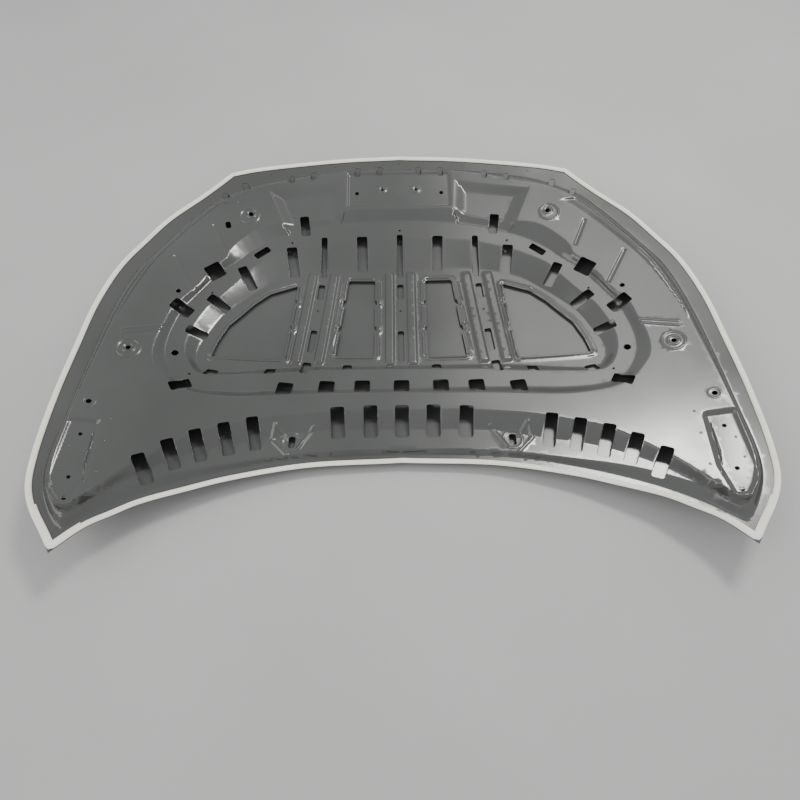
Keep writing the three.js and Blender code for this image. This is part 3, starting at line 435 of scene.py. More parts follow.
def rounded_corners(points, radius, steps=4):
    """A loop whose corners are drawn as arcs."""
    out = []
    p = np.array(points, float)
    for a, b, c in zip(np.roll(p, 1, axis=0), p, np.roll(p, -1, axis=0)):
        cut_in = min(radius, np.hypot(*(a - b)) * EDGE_SHARE)
        cut_out = min(radius, np.hypot(*(c - b)) * EDGE_SHARE)
        first = b + (a - b) / np.hypot(*(a - b)) * cut_in
        last = b + (c - b) / np.hypot(*(c - b)) * cut_out
        for t in np.linspace(0, 1, steps + 1):
            out.append((1 - t) ** 2 * first + 2 * t * (1 - t) * b + t * t * last)
    return np.array(out)


def slot_loop(x, y, width, length, turn):
    w, l = width / 2, length / 2
    corners = np.array([(w, -l), (w, l), (-w, l), (-w, -l)])
    a = math.radians(turn)
    spin = np.array([[math.cos(a), math.sin(a)], [-math.sin(a), math.cos(a)]])
    return rounded_corners(corners @ spin + (x, y), min(SLOT_CORNER, w * SLOT_ROUND_SHARE))


def round_loop(x, y, diameter):
    a = (np.arange(HOLE_SIDES) + 0.5) * 2 * math.pi / HOLE_SIDES
    return np.column_stack([x + diameter / 2 * np.cos(a), y + diameter / 2 * np.sin(a)])


def notch(edge, inwards):
    """The points of square notches along one long edge of a window, in the edge's own order."""
    (ax, ay), (bx, by) = edge
    rows = sorted(NOTCH_ROWS, reverse=by < ay)
    step = -1 if by < ay else 1
    points = []
    for row in rows:
        for y, depth in ((row - step * NOTCH_HALF, 0), (row - step * NOTCH_HALF, NOTCH_DEPTH),
                         (row + step * NOTCH_HALF, NOTCH_DEPTH), (row + step * NOTCH_HALF, 0)):
            x = ax + (bx - ax) * (y - ay) / (by - ay)
            points.append((x - inwards * depth, y))
    return points


def windows():
    """The right half's two windows with their notches."""
    a, b, c, d = BEAM_WINDOW
    beam = [a, b] + notch((b, c), -1) + [c, d] + notch((d, a), 1)
    wide = SIDE_WINDOW + notch((SIDE_WINDOW[-1], SIDE_WINDOW[0]), 1)
    return [rounded_corners(beam, WINDOW_CORNER / 2, 2), rounded_corners(wide, WINDOW_CORNER / 2, 2)]


def flipped(loop):
    return loop[::-1] * (-1, 1)


def all_holes():
    loops = [slot_loop(*slot) for slot in PAIRED_SLOTS] + [round_loop(*hole) for hole in PAIRED_HOLES]
    loops += windows()
    loops += [flipped(loop) for loop in loops]
    loops += [slot_loop(*slot) for slot in SINGLE_SLOTS] + [round_loop(*hole) for hole in SINGLE_HOLES]
    return loops


def outline(step):
    edges = [smooth(edge, step) for edge in (FRONT_EDGE, SIDE_EDGE, REAR_EDGE)]
    return closed(np.vstack([edges[0], edges[1][1:], edges[2][1:]]))


# Relief of the inner panel: each closed line with its level, from the edge inwards
LEVELS = [(inset(outline(LEVEL_STEP), FLANGE_SETBACK), 0)]
for half_line, level in ((WALL_FOOT, 0), (WALL_CREASE, TERRACE), (FRAME_OUTER, PLATEAU),
                         (FRAME_INNER, PLATEAU), (RING_OUTER, RING), (RING_INNER, RING), (FLOOR_EDGE, FLOOR)):
    LEVELS.append((closed(smooth(half_line, LEVEL_STEP)), level))
CREASE_ZONE = 2  # inside the wall's crease
FRAME_ZONE = 4  # inside the frame's inner edge
terrace_half = smooth(TERRACE_INNER, LEVEL_STEP)
TERRACE_LINE = np.vstack([terrace_half, terrace_half[::-1][1:] * (-1, 1)])


def terrace_area():
    crease = LEVELS[CREASE_ZONE][0]
    near = crease[(crease[:, 1] < TERRACE_END_Y) & (np.abs(crease[:, 0]) < TERRACE_END_X)]
    return np.vstack([TERRACE_LINE, near[np.argsort(near[:, 0])]])


TERRACE_AREA = terrace_area()
MIDDLE_BEAM = ((0, front(395)), (0, rear(266)))
SIDE_BEAM = ((208, front(400)), (238, rear(270)))
WINDOW_LOOPS = windows()
hinge_plane = crown_plane(HINGE_PAD_MIDDLE)
striker_plane = crown_plane((0, (STRIKER_NEAR + STRIKER_FAR) / 2))


def bump(d, half):
    """1 on a line, falling smoothly to 0 at half's distance."""
    return 0.5 + 0.5 * np.cos(math.pi * np.clip(d / half, 0, 1))


def ease(t):
    t = np.clip(t, 0, 1)
    return t * t * (3 - 2 * t)


def wall(t, width):
    """A straight ramp from 0 to 1 whose two bends are rounded to the crease radius."""
    e = np.clip(CREASE_RADIUS / np.maximum(width, 1), *BEND_SHARE)
    top = 1 - (1 - t) ** 2 / (2 * e * (1 - e))
    foot = t**2 / (2 * e * (1 - e))
    return np.where(t < e, foot, np.where(t > 1 - e, top, (t - e / 2) / (1 - e)))


def rib(p, line, offset):
    (ax, ay), (bx, by) = line
    d = np.array([bx - ax, by - ay], float)
    length = np.hypot(*d)
    d /= length
    q = p - (ax + offset, ay)
    along = q @ d
    across = np.abs(q[:, 0] * d[1] - q[:, 1] * d[0])
    flank = ease((RIB_FOOT + 1 - across) / (RIB_FOOT - RIB_TOP + 2))
    return RIB_HEIGHT * flank * ease(np.minimum(along, length - along) / RIB_END)


def embossing(p):
    """Rings and beads."""
    q = np.column_stack([np.abs(p[:, 0]), p[:, 1]])
    h = np.zeros(len(p))
    for (x, y), radius, half, height in RINGS:
        h += height * bump(np.abs(np.hypot(q[:, 0] - x, q[:, 1] - y) - radius), half)
    for line, half, height in BEADS:
        h += height * bump(distance(q, line, False), half)
    return h


def floor_beads(p):
    """The raised border of each window."""
    q = np.column_stack([np.abs(p[:, 0]), p[:, 1]])
    h = np.zeros(len(p))
    for loop in WINDOW_LOOPS:
        h = np.maximum(h, bump(distance(q, loop) - WINDOW_BEAD_OFFSET, WINDOW_BEAD_HALF)
                       * (distance(q, loop) > WINDOW_BEAD_OFFSET - WINDOW_BEAD_HALF))
    return WINDOW_BEAD_HEIGHT * h


def relief(p):
    zone = np.zeros(len(p), int)
    for k, (loop, _) in enumerate(LEVELS):
        zone[inside(p, loop)] = k
    h = np.full(len(p), float(FLOOR))
    q = np.column_stack([np.abs(p[:, 0]), p[:, 1]])
    recess = np.zeros(len(p))
    pool = inside(q, np.array(RECESS, float))
    sides = [distance(q[pool], [RECESS[a], RECESS[b]], False) for a, b in RECESS_SHALLOW]
    recess[pool] = RECESS_DROP * ease(np.min(sides, axis=0) / RECESS_SLOPE) if pool.any() else 0
    for k in range(len(LEVELS) - 1):
        here = zone == k
        if not here.any():
            continue
        (outer, low), (inner, high) = LEVELS[k], LEVELS[k + 1]
        from_outer, from_inner = distance(p[here], outer), distance(p[here], inner)
        if k == CREASE_ZONE:
            from_outer = np.minimum(from_outer, distance(p[here], TERRACE_LINE, False))
            from_outer[inside(p[here], TERRACE_AREA)] = 0
        width = from_outer + from_inner
        share = from_outer / np.maximum(width, 1e-6)
        level = low + (high - low) * wall(share, width)
        if k == FRAME_ZONE:
            level -= recess[here] * (1 - share)
        if k == FRAME_ZONE - 1:
            level -= recess[here]
            taper = np.clip((p[here][:, 1] - BAND_REAR) / (BAND_FRONT - BAND_REAR), 0, 1)
            band = np.where(p[here][:, 1] > BAND_FRONT, 0, BAND_WIDTH * taper)
            level -= BAND_DROP * ease(1 - from_outer / np.maximum(band, 1e-3)) * ease(band / BAND_FADE)
        h[here] = level
    low_floor = zone == len(LEVELS) - 1
    ribs = [rib(p, line, offset) for line in (MIDDLE_BEAM, SIDE_BEAM, tuple(mirrored(SIDE_BEAM)))
            for offset in (-RIB_OFFSET, RIB_OFFSET)]
    h[low_floor] += np.maximum(np.max(ribs, axis=0), floor_beads(p))[low_floor]
    return h + embossing(p)


def panel_under(p):
    """Underside of the inner panel, with the true planes of its pads."""
    plain = crown(p) + relief(p)
    q = np.column_stack([np.abs(p[:, 0]), p[:, 1]])
    pad = np.array(HINGE_PAD, float)
    away = np.where(inside(q, pad), 0, distance(q, pad))
    flat = hinge_plane(q) + PLATEAU - HINGE_DROP
    level = np.where(away > 0, np.minimum(flat, plain), flat)
    near = away < HINGE_PAD_WALL
    h = np.where(near, level + (plain - level) * ease(away / HINGE_PAD_WALL), plain)
    h += np.where(near, embossing(p), 0) * (away == 0)
    outside = np.maximum(0, np.maximum(q[:, 0] - STRIKER_HALF,
                                       np.maximum(STRIKER_NEAR - p[:, 1], p[:, 1] - STRIKER_FAR)))
    flat = striker_plane(p) + PLATEAU - STRIKER_DROP + embossing(p)
    blend = ease(outside / STRIKER_SLOPE)
    h = np.where(outside < STRIKER_SLOPE, flat + (h - flat) * blend, h)
    return BASE - PANEL_DROP + h


# Meshes
def show(name, data):
    """A new object in the scene."""
    made = bpy.data.objects.new(name, data)
    bpy.context.scene.collection.objects.link(made)
    return made


def make_mesh(name, vertices, faces, material):
    """An object from millimetre vertices."""
    mesh = bpy.data.meshes.new(name)
    mesh.from_pydata((np.asarray(vertices, float) * MM).tolist(), [], faces)
    mesh.shade_smooth()
    mesh.set_sharp_from_angle(angle=math.radians(SHARP_ANGLE))
    mesh.materials.append(material)
    return show(name, mesh)


def plane_mesh(boundary, holes, lines, points):
    """Triangles of a plane region, with the given lines kept as edges."""
    vertices, edges = [], []
    for loop, is_loop in [(boundary, True)] + [(hole, True) for hole in holes] + lines:
        first = len(vertices)
        vertices += loop.tolist()
        count = len(loop) if is_loop else len(loop) - 1
        edges += [(first + i, first + (i + 1) % len(loop)) for i in range(count)]
    vertices += points.tolist()
    made = delaunay_2d_cdt([Vector(v) for v in vertices], edges, [], 0, MERGE_REACH)
    p = np.array([tuple(v) for v in made[0]])
    faces = np.array([tuple(f) for f in made[2] if len(f) == 3])
    middle = p[faces].mean(axis=1)
    keep = inside(middle, boundary)
    for hole in holes:
        low, high = hole.min(axis=0), hole.max(axis=0)
        near = keep & ((middle > low) & (middle < high)).all(axis=1)
        keep[near] &= ~inside(middle[near], hole)
    faces = faces[keep]
    a, b, c = (p[faces[:, k]] for k in range(3))
    turn = (b[:, 0] - a[:, 0]) * (c[:, 1] - a[:, 1]) - (b[:, 1] - a[:, 1]) * (c[:, 0] - a[:, 0])
    solid = np.abs(turn) > LEAST_AREA
    faces, turn = faces[solid], turn[solid]
    faces[turn < 0] = faces[turn < 0][:, ::-1]
    return p, faces


def rim_edges(faces):
    """The directed edges that have a triangle on one side only."""
    directed = np.vstack([faces[:, [0, 1]], faces[:, [1, 2]], faces[:, [2, 0]]])
    known = {tuple(edge) for edge in directed.tolist()}
    return [(s, e) for s, e in known if (e, s) not in known]


def sheet(name, p, faces, under, over, material):
    """A closed sheet between two heights over a plane mesh."""
    used = np.unique(faces)
    index = np.zeros(len(p), int)
    index[used] = np.arange(len(used))
    p, faces = p[used], index[faces]
    n = len(p)
    vertices = np.vstack([np.column_stack([p, under(p)]), np.column_stack([p, over(p)])])
    walls = []
    for s, e in sorted(rim_edges(faces)):
        walls += [(s, e, e + n), (s, e + n, s + n)]
    triangles = np.vstack([faces + n, faces[:, ::-1], np.array(walls)])
    made = make_mesh(name, vertices, triangles.tolist(), material)
    up = surface_normal(p, under)
    a, b, c = (vertices[triangles[2 * len(faces):, k]] for k in range(3))
    outwards = np.cross(b - a, c - a)
    outwards /= np.maximum(np.linalg.norm(outwards, axis=1), 1e-9)[:, None]
    corners = np.vstack([up[faces].reshape(-1, 3), -up[faces[:, ::-1]].reshape(-1, 3),
                         outwards.repeat(3, axis=0)])
    made.data.normals_split_custom_set(corners.tolist())
    return made


def hex_points(boundary, step):
    (x0, y0), (x1, y1) = boundary.min(axis=0), boundary.max(axis=0)
    rows = []
    for i, y in enumerate(np.arange(y0, y1, step * math.sin(math.pi / 3))):
        xs = np.arange(x0 + (i % 2) * step / 2, x1, step)
        rows.append(np.column_stack([xs, np.full(len(xs), y)]))
    points = np.vstack(rows)
    return points[inside(points, boundary)]


def feature_lines():
    """Lines along the bends of the pads, recess, window borders, ribs, beads and rings."""
    pad = np.array(HINGE_PAD, float)
    half = [(np.array(RECESS, float), True)]
    half += [(inset(pad, -away), True) for away in (0, HINGE_PAD_WALL / 2, HINGE_PAD_WALL)]
    for corners in (BEAM_WINDOW, SIDE_WINDOW):
        for away in (-WINDOW_BEAD_HALF, 0, WINDOW_BEAD_HALF):
            half.append((inset(np.array(corners, float), -WINDOW_BEAD_OFFSET - away), True))
    for line, reach, _ in BEADS:
        half += [(np.array(line, float), False), (around(line, reach / 2), True), (around(line, reach), True)]
    for (x, y), radius, reach, _ in RINGS:
        half += [(round_loop(x, y, 2 * (radius + share * reach)), True) for share in (-1, -0.5, 0, 0.5, 1)]
    lines = half + [(line * (-1, 1), is_loop) for line, is_loop in half]
    for grow in (0, STRIKER_SLOPE / 2, STRIKER_SLOPE):
        w, near, far = STRIKER_HALF + grow, STRIKER_NEAR - grow, STRIKER_FAR + grow
        lines.append((np.array([(-w, near), (w, near), (w, far), (-w, far)], float), True))
    for beam in (MIDDLE_BEAM, SIDE_BEAM, mirrored(SIDE_BEAM)):
        for middle in (-RIB_OFFSET, RIB_OFFSET):
            for edge in (RIB_TOP - 1, (RIB_TOP + RIB_FOOT) / 2, RIB_FOOT + 1):
                lines += [(np.array(beam, float) + (middle + away, 0), False) for away in (-edge, edge)]
    return [(refined(line, FEATURE_STEP, is_loop), is_loop) for line, is_loop in lines]


def clear_of(points, lines):
    """The points that keep their clearance from every line."""
    spots = np.vstack([refined(line, POINT_CLEARANCE, is_loop) for line, is_loop in lines])
    tree = KDTree(len(spots))
    for i, (x, y) in enumerate(spots):
        tree.insert((x, y, 0), i)
    tree.balance()
    return points[[tree.find((x, y, 0))[2] > POINT_CLEARANCE for x, y in points]]


def inner_panel(material):
    """The stamped panel: even points, finer ones where it bends, and a point line on every crease."""
    edge = inset(outline(CREASE_STEP_LENGTH), FLANGE_SETBACK)
    holes = all_holes()
    lines = feature_lines()
    for half_line in (WALL_FOOT, WALL_CREASE, FRAME_OUTER, FRAME_INNER, RING_OUTER, RING_INNER, FLOOR_EDGE):
        lines.append((closed(smooth(half_line, CREASE_STEP_LENGTH)), True))
    lines.append((even(TERRACE_LINE, CREASE_STEP_LENGTH), False))
    fine = hex_points(edge, FINE)
    height = panel_under(fine)
    bend = np.zeros(len(fine))
    slant = FINE * DIAGONAL
    for shift in ((FINE, 0), (0, FINE), (slant, slant), (slant, -slant)):
        ahead, behind = panel_under(fine + shift), panel_under(fine - shift)
        bend = np.maximum(bend, np.abs(ahead + behind - 2 * height) / 2)
    points = np.vstack([hex_points(edge, COARSE), fine[bend > BEND_LIMIT] + OFF_GRID])
    points = clear_of(points, lines + [(hole, True) for hole in holes])
    p, faces = plane_mesh(edge, holes, lines, points)
    return sheet("inner_panel_sheet", p, faces, panel_under, lambda q: panel_under(q) + SHEET, material)


def outer_skin(material):
    """The crowned skin, with its edge rolled over the inner panel's flange."""
    rim = inset(outline(HEM_STEP), RIM_SETBACK)
    filling = hex_points(inset(rim, SKIN_FILL_SETBACK), SKIN_STEP)
    p, faces = plane_mesh(inset(rim, HEM_TURN), [], [], filling)
    fold_under = BASE + SHEET + GAP
    fold_over = fold_under + SKIN
    radius = fold_over / 2
    profile = [(HEM_TURN, SKIN_LIFT)]
    for degrees in np.linspace(-90, 90, HEM_ROUND_STEPS)[1:-1]:
        a = math.radians(degrees)
        profile.append((radius * (1 - math.cos(a)), radius + radius * math.sin(a)))
    profile += [(HEM_TURN, fold_over), (HEM_FOLD - HEM_BEVEL, fold_over), (HEM_FOLD, fold_over - HEM_BEVEL),
                (HEM_FOLD, fold_under), (HEM_INSIDE, fold_under), (HEM_TURN, SKIN)]
    rings = [inset(rim, offset) for offset, _ in profile]
    n = len(rim)
    vertices = [np.column_stack([ring, crown(ring) + rise]) for ring, (_, rise) in zip(rings, profile)]
    faces_out = []
    for k in range(len(rings) - 1):
        for i in range(n):
            j = (i + 1) % n
            faces_out.append((k * n + j, k * n + i, (k + 1) * n + i, (k + 1) * n + j))
    start = len(rings) * n
    vertices += [np.column_stack([p, crown(p) + SKIN_LIFT]), np.column_stack([p, crown(p) + SKIN])]
    count = len(p)
    faces_out += (faces[:, ::-1] + start).tolist() + (faces + start + count).tolist()
    made = make_mesh("outer_skin_sheet", np.vstack(vertices), faces_out, material)
    weld(made)
    return made


def weld(made):
    """Joins the vertices of a shell that lie on one another."""
    shape = bmesh.new()
    shape.from_mesh(made.data)
    bmesh.ops.remove_doubles(shape, verts=shape.verts, dist=WELD_REACH)
    shape.to_mesh(made.data)
    shape.free()


# Materials
def new_material(name, color, roughness, metallic=0.0):
    material = bpy.data.materials.new(name)
    material.use_nodes = True
    shader = material.node_tree.nodes["Principled BSDF"]
    shader.inputs["Base Color"].default_value = (*color, 1)
    shader.inputs["Roughness"].default_value = roughness
    shader.inputs["Metallic"].default_value = metallic
    return material, shader


def add(material, kind, **values):
    node = material.node_tree.nodes.new(kind)
    for name, value in values.items():
        node.inputs[name.replace("_", " ")].default_value = value
    return node


def join(material, start, end):
    material.node_tree.links.new(start, end)


def noise(material, scale, detail=3.0, roughness=0.5):
    coordinates = add(material, "ShaderNodeTexCoord")
    texture = add(material, "ShaderNodeTexNoise", Scale=scale, Detail=detail, Roughness=roughness)
    join(material, coordinates.outputs["Object"], texture.inputs["Vector"])
    return texture.outputs["Fac"]


def spread(material, value, low, high, socket):
    """Maps a pattern to a range and drives a socket with it."""
    node = add(material, "ShaderNodeMapRange")
    for title, number in zip(("From Min", "From Max", "To Min", "To Max"), (*NOISE_RANGE, low, high)):
        node.inputs[title].default_value = number
    join(material, value, node.inputs["Value"])
    join(material, node.outputs["Result"], socket)


def tint(material, value, dark, light, socket):
    ramp = material.node_tree.nodes.new("ShaderNodeValToRGB")
    for stop, position, color in zip(ramp.color_ramp.elements, RAMP_STOPS, (dark, light)):
        stop.position = position
        stop.color = (*color, 1)
    join(material, value, ramp.inputs["Fac"])
    join(material, ramp.outputs["Color"], socket)


def add_bump(material, shader, value, strength, depth):
    node = add(material, "ShaderNodeBump", Strength=strength, Distance=depth)
    join(material, value, node.inputs["Height"])
    join(material, node.outputs["Normal"], shader.inputs["Normal"])


def primer_grey():
    """Electrocoated steel: even grey, a soft gloss, faint orange peel and cloudy handling marks."""
    material, shader = new_material("primer_grey", (0.1, 0.102, 0.094), 0.3, 0.35)
    tint(material, noise(material, 2.6, 5), (0.088, 0.09, 0.083), (0.112, 0.114, 0.106),
         shader.inputs["Base Color"])
    spread(material, noise(material, 7.0, 6, 0.6), 0.15, 0.21, shader.inputs["Roughness"])
    add_bump(material, shader, noise(material, 420, 2), 0.06, 0.0004)
    return material


def hem_sealer_cream():
    material, shader = new_material("hem_sealer_cream", (0.97, 0.93, 0.8), 0.55)
    tint(material, noise(material, 30, 4), (0.95, 0.9, 0.74), (0.99, 0.97, 0.87), shader.inputs["Base Color"])
    spread(material, noise(material, 55, 3), 0.5, 0.72, shader.inputs["Roughness"])
    add_bump(material, shader, noise(material, 160, 4), 0.3, 0.0006)
    return material


def nut_grey():
    material, shader = new_material("nut_grey", (0.2, 0.2, 0.19), 0.4, 0.8)
    spread(material, noise(material, 60, 3), 0.32, 0.5, shader.inputs["Roughness"])
    add_bump(material, shader, noise(material, 300, 2), 0.1, 0.0003)
    return material


def mastic_black():
    material, shader = new_material("mastic_black", (0.02, 0.02, 0.019), 0.75)
    tint(material, noise(material, 40, 4), (0.015, 0.015, 0.014), (0.04, 0.04, 0.038),
         shader.inputs["Base Color"])
    add_bump(material, shader, noise(material, 120, 4), 0.5, 0.001)
    return material


def floor_pale():
    material, shader = new_material("floor_pale", (0.5, 0.49, 0.47), 0.75)
    tint(material, noise(material, 1.3, 4), (0.48, 0.47, 0.45), (0.52, 0.51, 0.49),
         shader.inputs["Base Color"])
    return material


# Geometry Nodes
class Tree:
    """A Geometry Nodes tree with named inputs, run once on a mesh and made plain."""

    def __init__(self, name, inputs):
        self.group = bpy.data.node_groups.new(name, "GeometryNodeTree")
        self.group.interface.new_socket("Geometry", in_out="INPUT", socket_type="NodeSocketGeometry")
        self.sockets = {}
        for title, (kind, value) in inputs.items():
            socket = self.group.interface.new_socket(title, in_out="INPUT", socket_type=kind)
            self.sockets[title] = (socket.identifier, value)
        self.group.interface.new_socket("Geometry", in_out="OUTPUT", socket_type="NodeSocketGeometry")
        self.start = self.add("NodeGroupInput")

    def add(self, kind, **settings):
        node = self.group.nodes.new(kind)
        for key, value in settings.items():
            setattr(node, key, value)
        return node

    def link(self, start, end):
        self.group.links.new(start, end)

    def attribute(self, name, kind):
        node = self.add("GeometryNodeInputNamedAttribute", data_type=kind)
        node.inputs["Name"].default_value = name
        return node.outputs["Attribute"]

    def finish(self, geometry):
        realize = self.add("GeometryNodeRealizeInstances")
        paint = self.add("GeometryNodeSetMaterial")
        end = self.add("NodeGroupOutput")
        self.link(geometry, realize.inputs["Geometry"])
        self.link(realize.outputs["Geometry"], paint.inputs["Geometry"])
        self.link(self.start.outputs["Material"], paint.inputs["Material"])
        self.link(paint.outputs["Geometry"], end.inputs["Geometry"])

    def apply(self, base, name, **changed):
        """Runs the tree on an object, and gives its result as a plain mesh object."""
        modifier = base.modifiers.new(self.group.name, "NODES")
        modifier.node_group = self.group
        for title, (identifier, value) in self.sockets.items():
            modifier[identifier] = changed.get(title.replace(" ", "_"), value)
        graph = bpy.context.evaluated_depsgraph_get()
        mesh = bpy.data.meshes.new_from_object(base.evaluated_get(graph))
        base.modifiers.remove(modifier)
        bpy.data.objects.remove(base)
        mesh.name = name
        return show(name, mesh)


def line_object(name, lines, ups=None):
    """A mesh of edges only, from closed or open lines of 3-D points in millimetres."""
    vertices, edges = [], []
    for points, is_loop in lines:
        first = len(vertices)
        vertices += (np.asarray(points) * MM).tolist()
        count = len(points) if is_loop else len(points) - 1
        edges += [(first + i, first + (i + 1) % len(points)) for i in range(count)]
    mesh = bpy.data.meshes.new(name)
    mesh.from_pydata(vertices, edges, [])
    if ups is not None:
        mesh.attributes.new("up", "FLOAT_VECTOR", "POINT").data.foreach_set("vector", np.asarray(ups).ravel())
    return show(name, mesh)


def lip_tree(material):
    """A fine rounded lip along every punched edge."""
    tree = Tree("punched_lips", {
        "Lip radius": ("NodeSocketFloat", LIP_RADIUS * MM), "Sides": ("NodeSocketInt", LIP_SIDES),
        "Material": ("NodeSocketMaterial", material)})
    curve = tree.add("GeometryNodeMeshToCurve")
    circle = tree.add("GeometryNodeCurvePrimitiveCircle")
    sweep = tree.add("GeometryNodeCurveToMesh")
    smooth_shade = tree.add("GeometryNodeSetShadeSmooth")
    tree.link(tree.start.outputs["Geometry"], curve.inputs["Mesh"])
    tree.link(tree.start.outputs["Sides"], circle.inputs["Resolution"])
    tree.link(tree.start.outputs["Lip radius"], circle.inputs["Radius"])
    tree.link(curve.outputs["Curve"], sweep.inputs["Curve"])
    tree.link(circle.outputs["Curve"], sweep.inputs["Profile Curve"])
    tree.link(sweep.outputs["Mesh"], smooth_shade.inputs["Geometry"])
    tree.finish(smooth_shade.outputs["Geometry"])
    return tree


def punched_lips(material):
    lines = []
    for loop in all_holes():
        lines.append((np.column_stack([loop, panel_under(loop) + SHEET / 2]), True))
    return lip_tree(material).apply(line_object("lip_lines", lines), "punched_lips")


def dimple_tree(material):
    """A low round dimple on every point, standing along the sheet's normal."""
    tree = Tree("press_dimples", {
        "Radius": ("NodeSocketFloat", DIMPLE_RADIUS * MM), "Height": ("NodeSocketFloat", DIMPLE_HEIGHT * MM),
        "Material": ("NodeSocketMaterial", material)})
    ball = tree.add("GeometryNodeMeshUVSphere")
    ball.inputs["Segments"].default_value = DIMPLE_SEGMENTS
    ball.inputs["Rings"].default_value = DIMPLE_RINGS
    ball.inputs["Radius"].default_value = 1
    size = tree.add("ShaderNodeCombineXYZ")
    align = tree.add("FunctionNodeAlignRotationToVector", axis="Z")
    copies = tree.add("GeometryNodeInstanceOnPoints")
    shade = tree.add("GeometryNodeSetShadeSmooth")
    for title, axes in (("Radius", "XY"), ("Height", "Z")):
        for axis in axes:
            tree.link(tree.start.outputs[title], size.inputs[axis])
    tree.link(tree.attribute("up", "FLOAT_VECTOR"), align.inputs["Vector"])
    tree.link(tree.start.outputs["Geometry"], copies.inputs["Points"])
    tree.link(ball.outputs["Mesh"], copies.inputs["Instance"])
    tree.link(align.outputs["Rotation"], copies.inputs["Rotation"])
    tree.link(size.outputs["Vector"], copies.inputs["Scale"])
    tree.link(copies.outputs["Instances"], shade.inputs["Geometry"])
    tree.finish(shade.outputs["Geometry"])
    return tree


def surface_normal(p, height):
    step = 1.0
    dx = (height(p + (step, 0)) - height(p - (step, 0))) / (2 * step)
    dy = (height(p + (0, step)) - height(p - (0, step))) / (2 * step)
    n = np.column_stack([-dx, -dy, np.ones(len(p))])
    return n / np.linalg.norm(n, axis=1)[:, None]


def press_dimples(material):
    spots = np.array(DIMPLES + mirrored(DIMPLES), float)
    top = np.column_stack([spots, panel_under(spots) + SHEET])
    lines = [(point[None], False) for point in top]
    base = line_object("dimple_points", lines, surface_normal(spots, panel_under))
    return dimple_tree(material).apply(base, "press_dimples")


def bead_tree(material):
    """A sealer bead along a path: a low round section, lying on the fold, a little uneven as it was laid."""
    tree = Tree("hem_bead", {
        "Width": ("NodeSocketFloat", SEALER_WIDTH * MM), "Height": ("NodeSocketFloat", SEALER_HEIGHT * MM),
        "Unevenness": ("NodeSocketFloat", BEAD_UNEVENNESS), "Seed": ("NodeSocketFloat", BEAD_SEED),
        "Material": ("NodeSocketMaterial", material)})
    curve = tree.add("GeometryNodeMeshToCurve")
    even_steps = tree.add("GeometryNodeResampleCurve", mode="LENGTH")
    even_steps.inputs["Length"].default_value = BEAD_STEP * MM
    up = tree.add("GeometryNodeSetCurveNormal", mode="FREE")
    lumps = tree.add("ShaderNodeTexNoise", noise_dimensions="4D")
    lumps.inputs["Scale"].default_value = BEAD_LUMPS
    size = tree.add("ShaderNodeMapRange")
    size.inputs["From Min"].default_value, size.inputs["From Max"].default_value = BEAD_LUMP_RANGE
    size.inputs["To Max"].default_value = 1.0
    least = tree.add("ShaderNodeMath", operation="SUBTRACT")
    least.inputs[0].default_value = 1.0
    radius = tree.add("GeometryNodeSetCurveRadius")
    arc = tree.add("GeometryNodeCurveArc")
    arc.inputs["Resolution"].default_value = BEAD_SECTION_POINTS
    arc.inputs["Radius"].default_value = 1.0
    arc.inputs["Start Angle"].default_value = 0
    arc.inputs["Sweep Angle"].default_value = math.pi
    shut = tree.add("GeometryNodeSetSplineCyclic")
    shut.inputs["Cyclic"].default_value = True
    half = tree.add("ShaderNodeMath", operation="MULTIPLY")
    half.inputs[1].default_value = 0.5
    scale = tree.add("ShaderNodeCombineXYZ")
    scale.inputs["Z"].default_value = 1
    section = tree.add("GeometryNodeTransform")
    sweep = tree.add("GeometryNodeCurveToMesh")
    sweep.inputs["Fill Caps"].default_value = True
    shade = tree.add("GeometryNodeSetShadeSmooth")
    start = tree.start.outputs
    tree.link(start["Geometry"], curve.inputs["Mesh"])
    tree.link(curve.outputs["Curve"], even_steps.inputs["Curve"])
    tree.link(even_steps.outputs["Curve"], up.inputs["Curve"])
    tree.link(tree.attribute("up", "FLOAT_VECTOR"), up.inputs["Normal"])
    tree.link(start["Seed"], lumps.inputs["W"])
    tree.link(lumps.outputs["Fac"], size.inputs["Value"])
    tree.link(start["Unevenness"], least.inputs[1])
    tree.link(least.outputs["Value"], size.inputs["To Min"])
    tree.link(up.outputs["Curve"], radius.inputs["Curve"])
    tree.link(size.outputs["Result"], radius.inputs["Radius"])
    tree.link(start["Width"], half.inputs[0])
    tree.link(half.outputs["Value"], scale.inputs["Y"])
    tree.link(start["Height"], scale.inputs["X"])
    turn = tree.add("GeometryNodeTransform")
    turn.inputs["Rotation"].default_value = Euler((0, 0, -math.pi / 2))
    tree.link(arc.outputs["Curve"], shut.inputs["Geometry"])
    tree.link(shut.outputs["Geometry"], turn.inputs["Geometry"])
    tree.link(turn.outputs["Geometry"], section.inputs["Geometry"])
    tree.link(scale.outputs["Vector"], section.inputs["Scale"])
    tree.link(radius.outputs["Curve"], sweep.inputs["Curve"])
    tree.link(section.outputs["Geometry"], sweep.inputs["Profile Curve"])
    tree.link(sweep.outputs["Mesh"], shade.inputs["Geometry"])
    tree.finish(shade.outputs["Geometry"])
    return tree


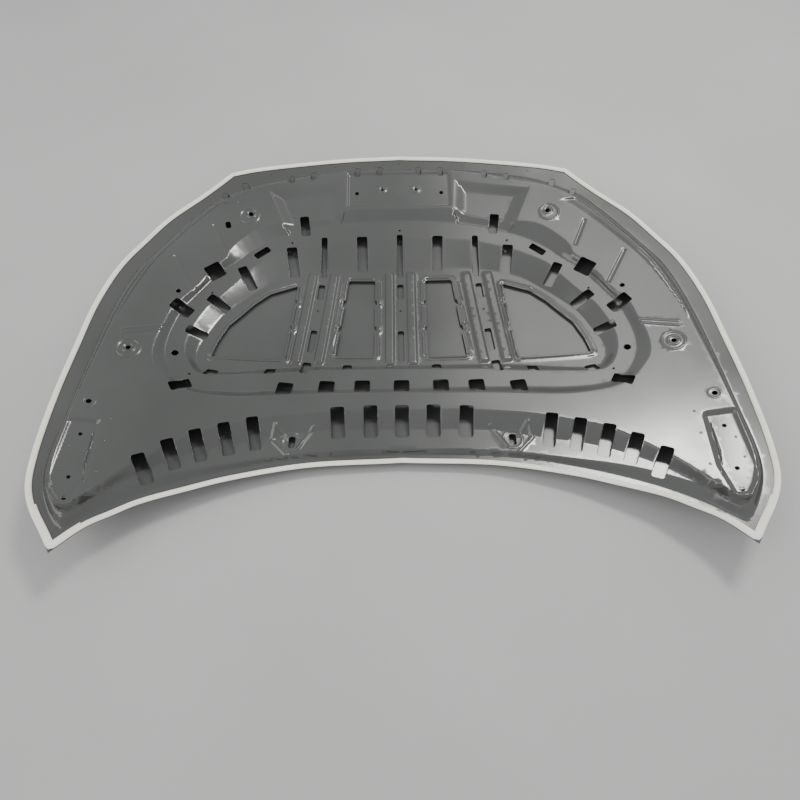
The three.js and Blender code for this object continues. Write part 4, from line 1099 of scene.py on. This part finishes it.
def sealer_beads(material):
    """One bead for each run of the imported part's hem sealer."""
    rim = outline(HEM_STEP)
    total = len(rim)
    stations = [int(np.argmin(np.hypot(*(rim - end).T))) for end in SEALER_ENDS]
    corner, flank, back = stations
    runs = {
        "front": (total - corner, corner), "right": (corner, flank), "corner_right": (flank, back),
        "rear": (back, total - back), "corner_left": (total - back, total - flank),
        "left": (total - flank, total - corner)}
    bottom = BASE + SHEET + GAP + SKIN + GAP
    made = []
    tree = bead_tree(material)
    for name, (first, last) in runs.items():
        count = (last - first) % total + 1
        width = CORNER_SEALER_WIDTH if "corner" in name else SEALER_WIDTH
        path = inset(rim, SEALER_SETBACK + width / 2)
        line = path[(first + np.arange(count)) % total].copy()
        for end, ahead in ((0, 1), (-1, -2)):
            step = line[ahead] - line[end]
            line[end] -= step * SEALER_OVERLAP / 2 / np.hypot(*step)
        rise = crown(line) + bottom
        base = line_object("bead_line", [(np.column_stack([line, rise]), False)], surface_normal(line, crown))
        bead = tree.apply(base, f"hem_bead_{name}", Width=width * MM)
        made.append((bead, f"hem_sealer_{name}"))
    return made


# The stage
def stage_floor(material):
    mesh = bpy.data.meshes.new("floor")
    corners = [(FLOOR_REACH * x, FLOOR_REACH * y, 0) for x, y in ((-1, -1), (1, -1), (1, 1), (-1, 1))]
    mesh.from_pydata(corners, [], [(0, 1, 2, 3)])
    mesh.materials.append(material)
    show("floor", mesh)


def soft_light(name, spot, target, size, power):
    data = bpy.data.lights.new(name, "AREA")
    data.shape = "RECTANGLE"
    data.size, data.size_y = size
    data.energy = power
    lamp = show(name, data)
    lamp.location = spot
    lamp.rotation_euler = (Vector(target) - Vector(spot)).to_track_quat("-Z", "Y").to_euler()


def studio():
    """A soft light to the right, which the crowned panel mirrors at its rear, a faint one before it, and a
    weak fill."""
    world = bpy.data.worlds.new("studio")
    world.use_nodes = True
    world.node_tree.nodes["Background"].inputs["Color"].default_value = WORLD_COLOR
    world.node_tree.nodes["Background"].inputs["Strength"].default_value = WORLD_STRENGTH
    bpy.context.scene.world = world
    for name, (spot, target, size, power) in LIGHTS.items():
        soft_light(name, spot, target, size, power)


def camera():
    data = bpy.data.cameras.new("camera")
    data.lens = CAMERA_LENS
    data.sensor_width = SENSOR_WIDTH
    data.shift_x = CAMERA_SHIFT
    made = show("camera", data)
    tilt = Matrix.Rotation(math.radians(CAMERA_TILT), 4, "X")
    roll = Matrix.Rotation(math.radians(CAMERA_ROLL), 4, "Z")
    made.matrix_world = Matrix.Translation(CAMERA_PLACE) @ tilt @ roll
    bpy.context.scene.camera = made


def place(piece, slot, *nodes):
    """Lets a piece ride on the bonnet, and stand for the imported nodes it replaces."""
    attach(piece, "root")
    if nodes:
        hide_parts(*nodes)


def dress(materials):
    """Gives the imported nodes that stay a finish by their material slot."""
    slots = {part["node"]: part["material_slot"] for part in frame["record"]["subparts"]}
    for name, node in frame["nodes"].items():
        for holder in node.material_slots:
            holder.material = materials[slots[name]]


def build():
    grey, cream = primer_grey(), hem_sealer_cream()
    dress({"coated_sheet": grey, "hem_sealer": cream, "weld_nut": nut_grey(), "mastic": mastic_black()})
    place(inner_panel(grey), "coated_sheet", "inner_panel")
    place(outer_skin(grey), "coated_sheet", "outer_skin")
    place(punched_lips(grey), "coated_sheet")
    place(press_dimples(grey), "coated_sheet")
    for bead, node in sealer_beads(cream):
        place(bead, "hem_sealer", node)
    stage_floor(floor_pale())
    studio()
    camera()


build()
